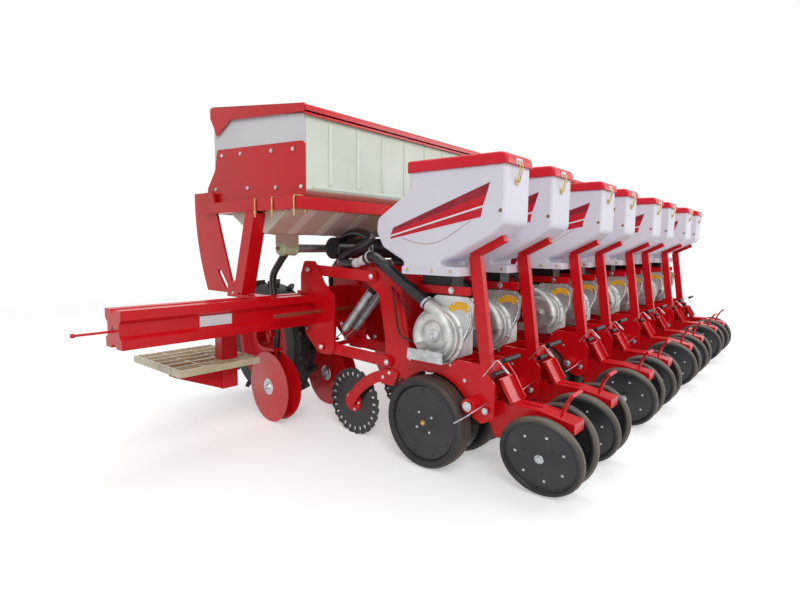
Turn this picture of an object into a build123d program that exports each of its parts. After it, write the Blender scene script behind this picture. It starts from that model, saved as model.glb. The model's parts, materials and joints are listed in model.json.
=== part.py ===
from build123d import *
import os
from math import cos, hypot, radians, sin, tan

# Eight-row pneumatic seeder, carried on a tractor's three-point linkage and parked on its wheels.
# Millimetres. +X is the machine's right, +Y is forward (the tractor's side), +Z is up, floor at Z = 0.
# Lengths below are measured from the toolbar's centre line along Y and from the floor along Z.
# ORIGIN_Y then moves the whole machine so that its box is centred on the origin.

# Rows stand in pairs: a narrow gap inside a pair, a wide gap between pairs.
PAIRS = 4
ROW_NARROW = 400.0
ROW_WIDE = 600.0

# Toolbar: a square rolled section with a groove along each side.
BAR = 150.0
BAR_HALF = 2740.0
BAR_Z = 603.0
GROOVE_DEPTH = 20.0
GROOVE_HALF = 38.0
GROOVE_FLOOR = 24.0
NOTCH_R = 26.0
NOTCH_DEPTH = 17.0

# Running and seating gaps.
RUN_FIT = 0.05
SEAT = 0.3
CLEAR = 12.0

# Parallel linkage of a row: pivots as (Y, Z).
UPPER_FRONT = (-40.0, 806.0)
LOWER_FRONT = (-138.0, 420.0)
UPPER_REAR = (-472.0, 790.0)
LOWER_REAR = (-570.0, 408.0)
CHEEK_OUT = 95.0
CHEEK = 10.0
LINK = 12.0
LINK_HIGH = 52.0
LINK_GAP = 0.5
BRACKET_OUT = CHEEK_OUT + LINK + 2 * LINK_GAP + CHEEK
CLAMP = 12.0
CLAMP_LIP = 30.0
POST = 30.0
ROW_TOP = 470.0
SHANK = 18.0
METER_SHAFT = (-123.0, 599.0)
METER_SHAFT_R = 10.0
METER_SHAFT_END = 2095.0
PIVOT_R = 11.0
PIVOT_HEAD_R = 19.0
PIVOT_HEAD = 9.0
SPRING_X = 38.0
SPRING_COIL = 23.0
SPRING_WIRE = 6.0
SPRING_HOOK = 85.0

# Gauge wheels: one each side of a row's opener.
GAUGE_R = 195.0
GAUGE_Y = -815.0
GAUGE_IN = 75.0
GAUGE_OUT = 170.0
GAUGE_RIM_R = 158.0
GAUGE_DISH = 16.0
GAUGE_HUB_R = 42.0
GAUGE_AXLE_R = 12.5
GAUGE_PIVOT = (-1022.0, 308.0)
GAUGE_BOSS_R = 30.0
GAUGE_SHAFT_R = 16.0
GAUGE_ARM = 10.0

# Press wheels: a V of two narrow wheels behind each row.
PRESS_R = 162.0
PRESS_W = 50.0
PRESS_RIM_R = 138.0
PRESS_DISH = 9.0
PRESS_HUB_X = 78.0
PRESS_Y = -1304.0
PRESS_CAMBER = 12.5
PRESS_TOE = 4.0
PRESS_AXLE_R = 10.0
PRESS_PIVOT = (-1080.0, 292.0)
PRESS_ARM_HALF = 46.0
PRESS_ARM_WALL = 8.0
PRESS_ARM_HIGH = 62.0
PRESS_ARM_REAR = -1412.0

# Notched coulter in front of each row's opener.
COULTER_R = 166.0
COULTER_T = 6.0
COULTER_X = -72.0
COULTER_Y = -322.0
COULTER_NOTCHES = 24
COULTER_NOTCH = 9.0
COULTER_HUB_R = 46.0
COULTER_HUB = 22.0
COULTER_AXLE_R = 12.0

# Double discs of the seed opener.
SEED_DISC_R = 180.0
SEED_DISC_T = 4.0
SEED_DISC_Y = -790.0
SEED_DISC_GAP = 9.0
SEED_LIFT = 8.0
DISC_TILT = 4.5

# Seed hopper and its lid.
HOPPER_X = -85.0
HOPPER_W = 190.0
HOPPER_WALL = 5.0
HOPPER_FOOT_Z = 816.0
HOPPER_TOP_Z = 1222.0
HOPPER_FRONT = -742.0
HOPPER_REAR = -1175.0
HOPPER_LID = 46.0
HOPPER_EDGE = 10.0
LID_OVER = 6.0
LID_EDGE = 10.0

# Seed meter.
METER = (-851.0, 566.0)
METER_R = 112.0
METER_OUT = -170.0
METER_FACE = -106.0
METER_PLATE = 9.0
METER_IN = 30.0
VOLUTE_R = 20.0

# Fertiliser tank.
TANK_HALF = 2090.0
TANK_REAR = -355.0
TANK_FRONT = 365.0
TANK_SIDE_Z = 1165.0
TANK_TOP_REAR = 1478.0
TANK_TOP_FRONT = 1572.0
TANK_FLOOR_Z = 985.0
TANK_FLOOR_HALF = 70.0
TANK_WALL = 7.0
TANK_LID = 34.0
LID_LIP = 13.0
TANK_END = 6.0
TANK_SPLIT = 700.0

# Tank frame.
BEAM = 52.0
BEAM_TOP = 1133.0
STAND_X = (2116.5, 1000.0)
STAND = 70.0
STAND_FOOT = (86.0, 703.0)
STAND_CLAMP = 40.0
STAND_HEAD = (-30.0, 1081.0)
STAND_BOW = (520.0, 937.0)

# Drive wheels that turn the meters.
DRIVE_R = 362.0
DRIVE_X = 1700.0
DRIVE_Y = 448.0
DRIVE_W = 150.0
DRIVE_RIM_R = 205.0
DRIVE_LUG = 26.0
DRIVE_LUGS = 16
DRIVE_AXLE_R = 18.0

# Fertiliser openers.
FERT_DX = -220.0
FERT_Y = 140.0
FERT_R = 185.0
FERT_GAP = 12.0
SPRING_R = 75.0
SPRING_T = 14.0
SPRING_W = 60.0

# Hitch for a category 2 linkage.
HITCH_HALF = 412.5
HITCH_PIN_R = 14.0
HITCH_BRACE_X = 184.0
HITCH_PIN = 90.0
HITCH_Y = 720.0
HITCH_Z = 640.0
HITCH_TUBE = 90.0
MAST_HIGH = 610.0
TOP_LINK_R = 12.75
TOP_LINK_GAP = 52.0
HITCH_PLATE = 16.0

# Vacuum fan and pipe.
FAN_Z = 800.0
FAN_R = 175.0
FAN_REAR = 120.0
FAN_WIDE = 130.0
PTO_R = 17.45
PTO_LONG = 90.0
PIPE_R = 55.0
PIPE_Y = -115.0
PIPE_Z = 915.0
INLET_X = -60.0
INLET_Z = 866.0
INLET_R = 40.0
HOSE_R = 25.0

# Shaft of the fertiliser meters.
SHAFT_Z = 930.0
SHAFT_R = 16.0
METERING_HALF = 55.0
METERING_X = 40.0
ROTOR_R = 48.0
ROTOR = 45.0

# Steps at both ends of the toolbar.
STEP_X = 2080.0
STEP_POST_X = 2208.0
STEP_HALF = 400.0
STEP_REAR = 20.0
STEP_FRONT = 480.0
STEP_Z = 385.0
STEP_FRAME = 30.0
STEP_LANES = 6
STEP_POST_LOW = 250.0

# Route of a row's suction hose as (X from the row, Y, Z), from the long pipe to the meter's spout.
HOSE_ROUTE = [
    (-120.0, -162.0, 940.0), (-124.0, -280.0, 928.0), (-130.0, -410.0, 886.0), (-134.0, -530.0, 830.0),
    (-130.0, -665.0, 768.0), (-130.0, -800.0, 700.0),
]

PITCH = ROW_NARROW + ROW_WIDE
ROWS = [((p - (PAIRS - 1) / 2) * PITCH) + s * ROW_NARROW / 2 for p in range(PAIRS) for s in (-1, 1)]
BAR_TOP = BAR_Z + BAR / 2
BAR_LOW = BAR_Z - BAR / 2
REAR_REACH = PRESS_Y - PRESS_R
FRONT_REACH = DRIVE_Y + DRIVE_R
ORIGIN_Y = (REAR_REACH + FRONT_REACH) / 2
STANDING = (Align.CENTER, Align.CENTER, Align.MIN)


def block(x0, x1, y0, y1, z0, z1):
    """A box between two corners."""
    middle = ((x0 + x1) / 2, (y0 + y1) / 2, (z0 + z1) / 2)
    return Pos(*middle) * Box(abs(x1 - x0), abs(y1 - y0), abs(z1 - z0))


def plate(outline, x0, x1):
    """A flat plate across the machine, its outline given as (Y, Z) corners."""
    face = make_face(Polyline(*outline, close=True))
    return extrude(Plane.YZ.offset(x0) * face, x1 - x0)


def rod_x(y, z, radius, x0, x1):
    """A round bar along X."""
    return Pos((x0 + x1) / 2, y, z) * Rot(0, 90, 0) * Cylinder(radius, abs(x1 - x0))


def rod_y(x, z, radius, y0, y1):
    """A round bar along Y."""
    return Pos(x, (y0 + y1) / 2, z) * Rot(90, 0, 0) * Cylinder(radius, abs(y1 - y0))


def rod(start, end, radius):
    """A round bar between two points."""
    line = Vector(*end) - Vector(*start)
    base = Plane(origin=start, z_dir=line)
    return base * Cylinder(radius, line.length, align=STANDING)


def bar(p, q, wide, x0, x1):
    """A flat bar of a given width between two (Y, Z) points."""
    length = hypot(q[0] - p[0], q[1] - p[1])
    ny = -(q[1] - p[1]) / length * wide / 2
    nz = (q[0] - p[0]) / length * wide / 2
    ends = [(p[0] + ny, p[1] + nz), (q[0] + ny, q[1] + nz), (q[0] - ny, q[1] - nz), (p[0] - ny, p[1] - nz)]
    return plate(ends, x0, x1)


def link(p, q, wide, x0, x1):
    """A flat bar with round ends on two (Y, Z) pivots."""
    ends = rod_x(*p, wide / 2, x0, x1) + rod_x(*q, wide / 2, x0, x1)
    return bar(p, q, wide, x0, x1) + ends


def both(shape):
    """The shape and its mirror image across the machine's middle."""
    return [shape, mirror(shape, Plane.YZ)]


def at_rows(shape):
    """One copy of the shape on each row."""
    return [Pos(x, 0, 0) * shape for x in ROWS]


def rounded(corners, radii):
    """A closed outline through (Y, Z) corners, each corner with its own radius."""
    return FilletPolyline(*corners, radius=radii, close=True)


def soft_plate(corners, x0, x1):
    """A flat plate across the machine, its outline given as (Y, Z, corner radius)."""
    outline = rounded([(y, z) for y, z, r in corners], [r for y, z, r in corners])
    return extrude(Plane.YZ.offset(x0) * make_face(outline), x1 - x0)


def curved_bar(start, middle, end, wide, x0, x1):
    """A flat bar with round ends that follows an arc through three (Y, Z) points."""
    return extrude(Plane.YZ.offset(x0) * SlotArc(ThreePointArc(start, middle, end), wide), x1 - x0)


def span(side, near, far):
    """An interval of X on one side of the middle, lowest first."""
    return sorted((side * near, side * far))


def toolbar():
    """The main beam: square section, a flat-bottomed groove front and rear, a round one above and below."""
    half = BAR / 2
    deep = half - GROOVE_DEPTH
    quarter = [(half, half), (half, GROOVE_HALF), (deep, GROOVE_FLOOR)]
    front = quarter + [(y, -z) for y, z in reversed(quarter)]
    outline = [(y, BAR_Z + z) for y, z in front + [(-y, -z) for y, z in front]]
    beam = plate(outline, -BAR_HALF, BAR_HALF)
    for side in (-1, 1):
        axis_z = BAR_Z + side * (half + NOTCH_R - NOTCH_DEPTH)
        beam -= rod_x(0, axis_z, NOTCH_R, -BAR_HALF - 1, BAR_HALF + 1)
    return beam


def row_bracket():
    """Clamps a row to the toolbar and carries the front pivots of its linkage between two cheeks."""
    half = BAR / 2
    y, z = UPPER_FRONT
    foot_y, foot_z = LOWER_FRONT
    low, high = BAR_LOW - CLAMP_LIP, BAR_TOP + SEAT
    cheek = [
        (-6, low - 25, 20), (foot_y + 30, foot_z - 35, 22), (foot_y - 52, foot_z - 35, 18),
        (foot_y - 85, foot_z - 5, 16), (foot_y - 85, BAR_TOP + 5, 26), (y - 112, BAR_TOP + 64, 24),
        (y - 40, z + 44, 24), (y + 40, z + 44, 24), (28, BAR_TOP + 100, 12), (28, BAR_TOP - 40, 5),
    ]
    solid = block(-BRACKET_OUT, BRACKET_OUT, -half - CLAMP, -half, low, BAR_TOP + 40)
    for side in (-1, 1):
        sides = span(side, BRACKET_OUT - CHEEK, BRACKET_OUT)
        solid += soft_plate(cheek, *sides) - block(*sides, -half, half, BAR_LOW - SEAT, high)
    solid += block(-CHEEK_OUT, CHEEK_OUT, half, half + CLAMP, low, high + CLAMP)
    solid += block(-CHEEK_OUT, CHEEK_OUT, -half - CLAMP, half + CLAMP, high, high + CLAMP)
    for x in (-CHEEK_OUT + 40, CHEEK_OUT - 40):
        solid += rod_y(x, BAR_LOW - 16, 9, -half - CLAMP - 10, half + CLAMP + 12)
    through = (-BRACKET_OUT - 1, BRACKET_OUT + 1)
    solid -= rod_x(*UPPER_FRONT, PIVOT_R + RUN_FIT, *through)
    solid -= rod_x(*LOWER_FRONT, PIVOT_R + RUN_FIT, *through)
    return solid - rod_x(*METER_SHAFT, METER_SHAFT_R + SEAT, *through)


def meter_shaft():
    """Hexagonal shaft behind the toolbar that turns the seed meters."""
    hexagon = RegularPolygon(METER_SHAFT_R, 6)
    long = METER_SHAFT_END * 2
    return Pos(-METER_SHAFT_END, *METER_SHAFT) * Rot(0, 90, 0) * extrude(hexagon, long)


def parallel_links():
    """Four links of one row, each pair joined by its headed pivot pins."""
    near = CHEEK_OUT + LINK_GAP
    far = near + LINK
    pairs = []
    for front, rear in ((UPPER_FRONT, UPPER_REAR), (LOWER_FRONT, LOWER_REAR)):
        solid = link(front, rear, LINK_HIGH, -far, -near) + link(front, rear, LINK_HIGH, near, far)
        for pivot, reach in ((front, BRACKET_OUT + LINK_GAP), (rear, far)):
            solid += rod_x(*pivot, PIVOT_R, -reach - 1, reach + 1)
            for side in (-1, 1):
                solid += rod_x(*pivot, PIVOT_HEAD_R, *span(side, reach, reach + PIVOT_HEAD))
        pairs.append(solid)
    return pairs


def row_cheek(side):
    """Side plate of a row, cut round above the gauge wheel and drilled for pins and shaft."""
    y, z = UPPER_REAR
    low_y, low_z = LOWER_REAR
    tail_y, tail_z = PRESS_PIVOT
    corners = [
        (y + 42, z + 42, 12), (y - 98, z + 42, 12), (y - 168, z - 55, 30), (y - 204, z - 245, 12),
        (METER[0] + 161, METER[1] - 92, 10), (tail_y + 28, ROW_TOP, 10), (tail_y - 32, tail_z + 106, 12),
        (tail_y - 32, tail_z - 30, 10), (tail_y + 24, tail_z - 60, 12), (tail_y + 95, tail_z - 30, 20),
        (-900, 300, 20), (low_y - 70, low_z - 63, 20), (low_y + 25, low_z - 63, 12), (low_y + 25, low_z + 96, 20),
        (y - 33, z - 85, 30), (y + 42, z - 38, 15),
    ]
    sides = span(side, CHEEK_OUT - CHEEK, CHEEK_OUT)
    solid = soft_plate(corners, *sides) - rod_x(GAUGE_Y, GAUGE_R, GAUGE_R + CLEAR, *sides)
    for pivot, radius in ((UPPER_REAR, PIVOT_R), (LOWER_REAR, PIVOT_R), (PRESS_PIVOT, PRESS_AXLE_R),
                          (GAUGE_PIVOT, GAUGE_SHAFT_R)):
        solid -= rod_x(*pivot, radius + RUN_FIT, *sides)
    return solid


def row_spine():
    """What stands between the side plates: spacers, the opener's shank and the axle of its discs."""
    half = CHEEK_OUT - CHEEK - SEAT
    front = block(-half, half, -600, -588, 430, 815)
    rear = block(POST + SEAT - CHEEK_OUT, half, -1060, -1048, 400, ROW_TOP - 2)
    shelf = block(-half, half, -900, -700, 428, 440) + block(-half, half, -715, -700, 415, ROW_TOP)
    shank = [(-740, 440), (-900, 440), (-860, 300), (SEED_DISC_Y - 25, 60), (SEED_DISC_Y, 60), (-770, 300)]
    shelf += plate(shank, -SHANK / 2, SHANK / 2)
    shelf += rod_x(SEED_DISC_Y, SEED_DISC_R + SEED_LIFT, 12, -SHANK / 2 - 4, SHANK / 2 + 4)
    return [front, rear, shelf]


def gauge_arms():
    """The pivot shaft with its two bosses, the two gauge wheel arms and the wheel stubs."""
    solid = rod_x(*GAUGE_PIVOT, GAUGE_SHAFT_R, -CHEEK_OUT - 52, CHEEK_OUT + 52)
    hub = (GAUGE_Y, GAUGE_R)
    near = GAUGE_IN - 5 - GAUGE_ARM
    for side in (-1, 1):
        solid += rod_x(*GAUGE_PIVOT, GAUGE_BOSS_R, *span(side, CHEEK_OUT + SEAT, CHEEK_OUT + 45))
        solid += link(GAUGE_PIVOT, hub, 44, *span(side, near, near + GAUGE_ARM))
        solid += rod_x(*hub, GAUGE_AXLE_R, *span(side, near, GAUGE_OUT - 12))
    return solid


def hopper_prop():
    """Upper bar and the bent post under the hopper, both on the left side plate."""
    left = -CHEEK_OUT
    solid = soft_plate([(-602, 736, 3), (-602, 770, 3), (-992, 770, 8), (-992, 736, 8)], left, left + LINK)
    solid += bar((-1074, 440), (-1005.6, 896), 50, left, left + POST)
    return solid + bar((-990, 892), (-1131, 962.5), 26, left, left + POST)


def coulter_arm():
    """Curved flat arm on the left side plate, with the coulter's stub."""
    left = -CHEEK_OUT
    hub = (COULTER_Y, COULTER_R)
    rear_y, rear_z = LOWER_REAR
    solid = curved_bar(hub, (-456, 302), (rear_y - 15, rear_z - 58), 52, left - CHEEK, left)
    lug = [(rear_y + 35, rear_z - 35, 15), (rear_y - 70, rear_z - 35, 15), (rear_y - 30, 300, 15), (rear_y + 50, 300, 15)]
    solid += soft_plate(lug, left - CHEEK, left + 1)
    return solid + rod_x(*hub, COULTER_AXLE_R, left - CHEEK, COULTER_X + COULTER_T / 2 + 10)


def row_frame():
    """One row's frame: two side plates, spacers, gauge wheel arms, prop and coulter arm."""
    left = row_cheek(-1) + hopper_prop() + coulter_arm()
    return [left, row_cheek(1), gauge_arms()] + row_spine()


def press_arm():
    """Channel that carries the two press wheels, deep at its pivot, with its curved lever."""
    y0, z0 = PRESS_PIVOT
    z_top = z0 + PRESS_ARM_HIGH / 2
    z_low = z_top - PRESS_ARM_HIGH
    wall = PRESS_ARM_WALL
    cheek = [
        (y0 + 26, z_top, 14), (y0 + 30, z_low, 14), (y0 - 14, z_low - 88, 10), (y0 - 48, z_low - 84, 12),
        (y0 - 112, z_low, 20), (PRESS_ARM_REAR, z_low, 3), (PRESS_ARM_REAR, z_top - 24, 5), (y0 - 196, z_top, 30),
    ]
    solid = block(-PRESS_ARM_HALF + 1, PRESS_ARM_HALF - 1, y0 - 190, y0 - 20, z_top - wall, z_top)
    solid += plate([(y0 - 185, z_top), (PRESS_ARM_REAR, z_top - 24), (PRESS_ARM_REAR, z_top - 24 - wall),
                    (y0 - 185, z_top - wall)], -PRESS_ARM_HALF + 1, PRESS_ARM_HALF - 1)
    solid += block(-PRESS_ARM_HALF + 1, PRESS_ARM_HALF - 1, PRESS_ARM_REAR, PRESS_ARM_REAR + wall, z_low, z_top - 26)
    for side in (-1, 1):
        solid += soft_plate(cheek, *span(side, PRESS_ARM_HALF - wall, PRESS_ARM_HALF))
        lug = [
            (PRESS_Y + 40, z0 - 20), (PRESS_Y - 40, z0 - 20), (PRESS_Y - 22, PRESS_R - 22),
            (PRESS_Y + 22, PRESS_R - 22),
        ]
        solid += plate(lug, *span(side, 28, 36))
        solid += block(*span(side, 28, PRESS_ARM_HALF), PRESS_Y - 40, PRESS_Y + 40, z_low, z_low + 10)
        hub = press_plane(side)
        solid += hub * Pos(0, 0, -46) * Cylinder(PRESS_AXLE_R, 64, align=STANDING)
    slot = extrude(Pos(0, PRESS_Y + 78, z_top - 30) * SlotOverall(90, 14, rotation=90), 60)
    solid -= slot
    solid += rod_x(y0, z0, PRESS_AXLE_R, -CHEEK_OUT - 14, CHEEK_OUT + 14)
    top = (PRESS_Y - 90, 402)
    solid += curved_bar((PRESS_Y - 46, z_top - 18), (PRESS_Y - 56, 352), top, 10, -16, 16)
    return solid + rod_x(*top, 8, -46, 46)


def press_plane(side):
    """The wheel's own plane: Z along its axle, pointing out of the row."""
    out = Vector(side * cos(radians(PRESS_CAMBER)), -0.0, -sin(radians(PRESS_CAMBER)))
    out = out.rotate(Axis.Z, -side * PRESS_TOE)
    height = PRESS_R * cos(radians(PRESS_CAMBER)) + PRESS_W / 2 * sin(radians(PRESS_CAMBER))
    return Plane(origin=(side * PRESS_HUB_X, PRESS_Y, height), z_dir=out)


def wheel_body(radius, rim_r, wide, dish, hub_r, bore_r, crown):
    """A closed wheel about Z: tyre with a crowned tread, dished steel face and a hub with a bore."""
    half = wide / 2
    edge = half - crown
    profile = [
        (bore_r, -half + dish * 0.4), (hub_r, -half + dish * 0.4), (hub_r + 8, -half + dish),
        (rim_r - 8, -half + dish), (rim_r, -half + 3), (radius - crown, -half), (radius, -edge), (radius, edge),
        (radius - crown, half), (rim_r, half - 3), (rim_r - 8, half - dish), (hub_r + 8, half - dish),
        (hub_r, half - dish * 0.4), (bore_r, half - dish * 0.4),
    ]
    face = make_face(Plane.XZ * Polyline(*profile, close=True))
    return revolve(face, Axis.Z)


def press_wheel(side):
    """One press wheel, leaning with its axle."""
    wheel = wheel_body(PRESS_R, PRESS_RIM_R, PRESS_W, PRESS_DISH, 26, PRESS_AXLE_R + RUN_FIT, 12)
    return press_plane(side) * wheel


def gauge_pair():
    """The two gauge wheels of a row."""
    wide = GAUGE_OUT - GAUGE_IN
    wheel = wheel_body(GAUGE_R, GAUGE_RIM_R, wide, GAUGE_DISH, GAUGE_HUB_R, GAUGE_AXLE_R + RUN_FIT, 22)
    middle = (GAUGE_OUT + GAUGE_IN) / 2
    return [Pos(side * middle, GAUGE_Y, GAUGE_R) * Rot(0, 90, 0) * wheel for side in (-1, 1)]


def coulter():
    """Thin disc with notches round its edge and a hub."""
    disc = Cylinder(COULTER_R, COULTER_T)
    disc -= PolarLocations(COULTER_R, COULTER_NOTCHES) * Cylinder(COULTER_NOTCH, COULTER_T + 2)
    disc += Pos(0, 0, COULTER_T / 2) * Cylinder(COULTER_HUB_R, COULTER_HUB / 2, align=STANDING)
    disc -= Cylinder(COULTER_AXLE_R + RUN_FIT, 80)
    return Pos(COULTER_X, COULTER_Y, COULTER_R) * Rot(0, -90, 0) * disc


def disc_pair(x, y, z, radius, thick, gap):
    """Two discs that lean towards each other at the front."""
    pair = []
    for side in (-1, 1):
        disc = Cylinder(radius, thick) + Cylinder(30, thick + 14)
        place = Pos(x + side * (gap + radius * sin(radians(DISC_TILT))), y, z)
        pair.append(place * Rot(0, 0, side * DISC_TILT) * Rot(0, 90, 0) * disc)
    return pair


def opener_discs():
    """Seed opener discs between the gauge wheels, and fertiliser discs ahead of the toolbar."""
    discs = []
    for x in ROWS:
        discs += disc_pair(x, SEED_DISC_Y, SEED_DISC_R + 8, SEED_DISC_R, SEED_DISC_T, SEED_DISC_GAP)
        discs += disc_pair(x + FERT_DX, FERT_Y, FERT_R, FERT_R, 5, FERT_GAP)
    return discs


def seed_hopper():
    """Hollow moulded hopper of one row, open at the top, all its corners round."""
    x0 = HOPPER_X - HOPPER_W / 2
    x1 = HOPPER_X + HOPPER_W / 2
    front, rear, wall = HOPPER_FRONT, HOPPER_REAR, HOPPER_WALL
    outer = [
        (-715, HOPPER_FOOT_Z, 0), (-715, 868, 16), (-600, 925, 34), (-563, 988, 44), (-568, 1046, 34),
        (front, 1151, 36), (front, HOPPER_TOP_Z, 0), (rear, HOPPER_TOP_Z, 0), (rear, 1015, 30),
        (-1125, 975, 30), (-975, 900, 26), (-900, 872, 12), (-900, 850, 8), (-980, 850, 8),
        (-980, HOPPER_FOOT_Z, 0),
    ]
    inner = [
        (-733, 872, 14), (-610, 934, 28), (-573, 990, 38), (-578, 1040, 30), (front - wall, 1148, 38),
        (front - wall, HOPPER_TOP_Z + 5, 0), (rear + wall, HOPPER_TOP_Z + 5, 0), (rear + wall, 1020, 26),
        (-1120, 981, 26), (-975, 909, 26), (-890, 879, 10), (-862, 842, 4), (-745, 842, 4),
    ]
    body = soft_plate(outer, x0, x1)
    long_edges = body.edges().filter_by(Axis.X, reverse=True).filter_by(lambda e: e.center().Z < HOPPER_TOP_Z - 1)
    long_edges = long_edges.filter_by(lambda e: e.center().Z > HOPPER_FOOT_Z + 40)
    body = fillet(long_edges, HOPPER_EDGE)
    return body - soft_plate(inner, x0 + wall, x1 - wall)


def hopper_lid(x):
    """Domed lid, hinged along its front edge, rounded to the rear."""
    x0 = x + HOPPER_X - HOPPER_W / 2 - LID_OVER
    x1 = x + HOPPER_X + HOPPER_W / 2 + LID_OVER
    z0 = HOPPER_TOP_Z + SEAT
    outline = [
        (HOPPER_FRONT + 8, z0, 0), (HOPPER_FRONT + 8, z0 + HOPPER_LID, 12),
        (HOPPER_REAR - 4, z0 + HOPPER_LID - 4, 30), (HOPPER_REAR - 10, z0, 0),
    ]
    body = soft_plate(outline, x0, x1)
    rim = body.edges().filter_by(Axis.X, reverse=True).filter_by(lambda e: e.center().Z > z0 + 5)
    return fillet(rim, LID_EDGE)


def seed_meter():
    """Cast meter: round housing with its raised volute, spout, hub, cover, scale plate and drip tray."""
    y, z = METER
    cover = METER_FACE + METER_PLATE
    face = METER_OUT + VOLUTE_R
    solid = rod_x(y, z, METER_R, face, METER_FACE + 2)
    solid += Pos(face, y, z) * Rot(0, 90, 0) * Torus(METER_R - 38, VOLUTE_R)
    solid += rod_x(y, z, 44, face - 7, face + 1) + rod_x(y, z, 19, METER_OUT, face)
    solid += rod_x(y, z, METER_R + 10, METER_FACE, cover)
    scale = [
        (y + 90, z + 20, 10), (y + 52, z + 130, 10), (y, z + 165, 12), (y - 136, z + 156, 12), (y - 159, z + 131, 12),
        (y - 122, z + 15, 12), (y - 60, z - 60, 10),
    ]
    solid += soft_plate(scale, METER_FACE + 1, cover - 1)
    end, way = HOSE_ROUTE[-1], Vector(*HOSE_ROUTE[-1]) - Vector(*HOSE_ROUTE[-2])
    inside = Vector(*end) + way.normalized() * 95
    solid += rod(end, tuple(inside), HOSE_R + 3)
    solid += block(cover - 1, METER_IN, y - 80, y + 80, 476, z + 148)
    solid += block(-78, 10, -890, -740, z + 147, HOPPER_FOOT_Z - SEAT)
    tray_z = z - METER_R
    tray = (y - 90, y + 105)
    solid += block(METER_OUT - 5, -CHEEK_OUT - SEAT, *tray, tray_z - 2, tray_z + 1)
    return solid + block(METER_OUT - 8, METER_OUT - 5, *tray, tray_z - 2, tray_z + 38)


def tank_outline(grow):
    """The tank's section as (Y, Z), moved outwards by grow."""
    return [
        (TANK_REAR - grow, TANK_TOP_REAR), (TANK_REAR - grow, TANK_SIDE_Z),
        (-TANK_FLOOR_HALF - grow, TANK_FLOOR_Z - grow), (TANK_FLOOR_HALF + grow, TANK_FLOOR_Z - grow),
        (TANK_FRONT + grow, TANK_SIDE_Z), (TANK_FRONT + grow, TANK_TOP_FRONT),
    ]


def fertiliser_tank():
    """Long trough with a V floor in three compartments, open at the top."""
    body = plate(tank_outline(0), -TANK_HALF, TANK_HALF)
    wall = TANK_WALL
    inside = [
        (TANK_REAR + wall, TANK_TOP_REAR + 30), (TANK_REAR + wall, TANK_SIDE_Z + 3),
        (-TANK_FLOOR_HALF + 3, TANK_FLOOR_Z + wall), (TANK_FLOOR_HALF - 3, TANK_FLOOR_Z + wall),
        (TANK_FRONT - wall, TANK_SIDE_Z + 3), (TANK_FRONT - wall, TANK_TOP_FRONT + 30),
    ]
    body -= plate(inside, -TANK_HALF + wall, TANK_HALF - wall)
    for x in (-TANK_SPLIT, TANK_SPLIT):
        body += plate(tank_outline(-1), x - wall / 2, x + wall / 2)
    return body


def tank_lid():
    """One long sloping lid, hinged along its front edge."""
    slope = (TANK_TOP_FRONT - TANK_TOP_REAR) / (TANK_FRONT - TANK_REAR)
    rear, front = TANK_REAR - LID_LIP, TANK_FRONT + LID_LIP
    low_rear = TANK_TOP_REAR - LID_LIP * slope + SEAT
    low_front = TANK_TOP_FRONT + LID_LIP * slope + SEAT
    outline = [
        (rear, low_rear, 4), (front, low_front, 4), (front, low_front + TANK_LID, 12),
        (rear, low_rear + TANK_LID, 12),
    ]
    return soft_plate(outline, -TANK_HALF - LID_LIP, TANK_HALF + LID_LIP)


def tank_stand(x):
    """Inclined post and a curved, slotted front plate, from the toolbar to the tank's beams."""
    x0, x1 = x - STAND_CLAMP, x + STAND_CLAMP
    half = BAR / 2
    top, low = BAR_TOP + 14, BAR_LOW - 30
    post = bar(STAND_FOOT, STAND_HEAD, STAND, x - STAND / 2, x + STAND / 2)
    foot = block(x0, x1, -half, 170, BAR_TOP + SEAT, top)
    clamp = block(x0, x1, half + SEAT, half + 14, low, top)
    bow_y, bow_z = STAND_BOW
    front = ThreePointArc((bow_y, BEAM_TOP + 57), (bow_y - 22, bow_z), (bow_y - 108, top - 2))
    rear = ThreePointArc((160, top - 2), (bow_y - 262, bow_z), (bow_y - 175, BEAM_TOP + 57))
    edges = [front, Line(front @ 1, rear @ 0), rear, Line(rear @ 1, front @ 0)]
    bow = extrude(Plane.YZ.offset(x - 6) * make_face(edges), 12)
    slot = Pos(bow_y - 258, 755) * SlotOverall(120, 30, rotation=50)
    bow -= extrude(Plane.YZ.offset(x - 7) * slot, 14)
    tie = block(x - STAND / 2, x + STAND / 2, 84, 172, BAR_TOP + SEAT, top + 60)
    return post + foot + clamp + bow + tie


def tank_frame():
    """Beams under the tank, cross beams and stands, all welded together."""
    z1, z0 = BEAM_TOP, BEAM_TOP - BEAM
    end = STAND_X[0] + BEAM / 2
    rear, front = TANK_REAR - 5, TANK_FRONT - BEAM + 5
    solid = block(-end, end, rear, rear + BEAM, z0, z1) + block(-end, end, front, front + BEAM, z0, z1)
    for x in STAND_X:
        for side in (-1, 1):
            solid += block(side * x - BEAM / 2, side * x + BEAM / 2, rear, STAND_BOW[0] - 130, z0, z1)
            solid += tank_stand(side * x)
    channel = plate(tank_outline(SEAT), -TANK_HALF - 1, TANK_HALF + 1)
    bearings = rod_x(0, SHAFT_Z, SHAFT_R + RUN_FIT, -TANK_HALF - 50, TANK_HALF + 50)
    return solid - channel - bearings


def end_brackets():
    """Red plates over the lower half of the tank's ends."""
    outline = [
        (TANK_REAR + 2, BEAM_TOP, 3), (TANK_FRONT + 75, BEAM_TOP, 3), (TANK_FRONT + 66, 1215, 20),
        (TANK_FRONT - 8, 1300, 30), (TANK_FRONT - 34, TANK_SIDE_Z + 234, 12), (TANK_REAR + 2, TANK_SIDE_Z + 200, 20),
    ]
    return both(soft_plate(outline, -TANK_HALF - SEAT - TANK_END, -TANK_HALF - SEAT))


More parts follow.
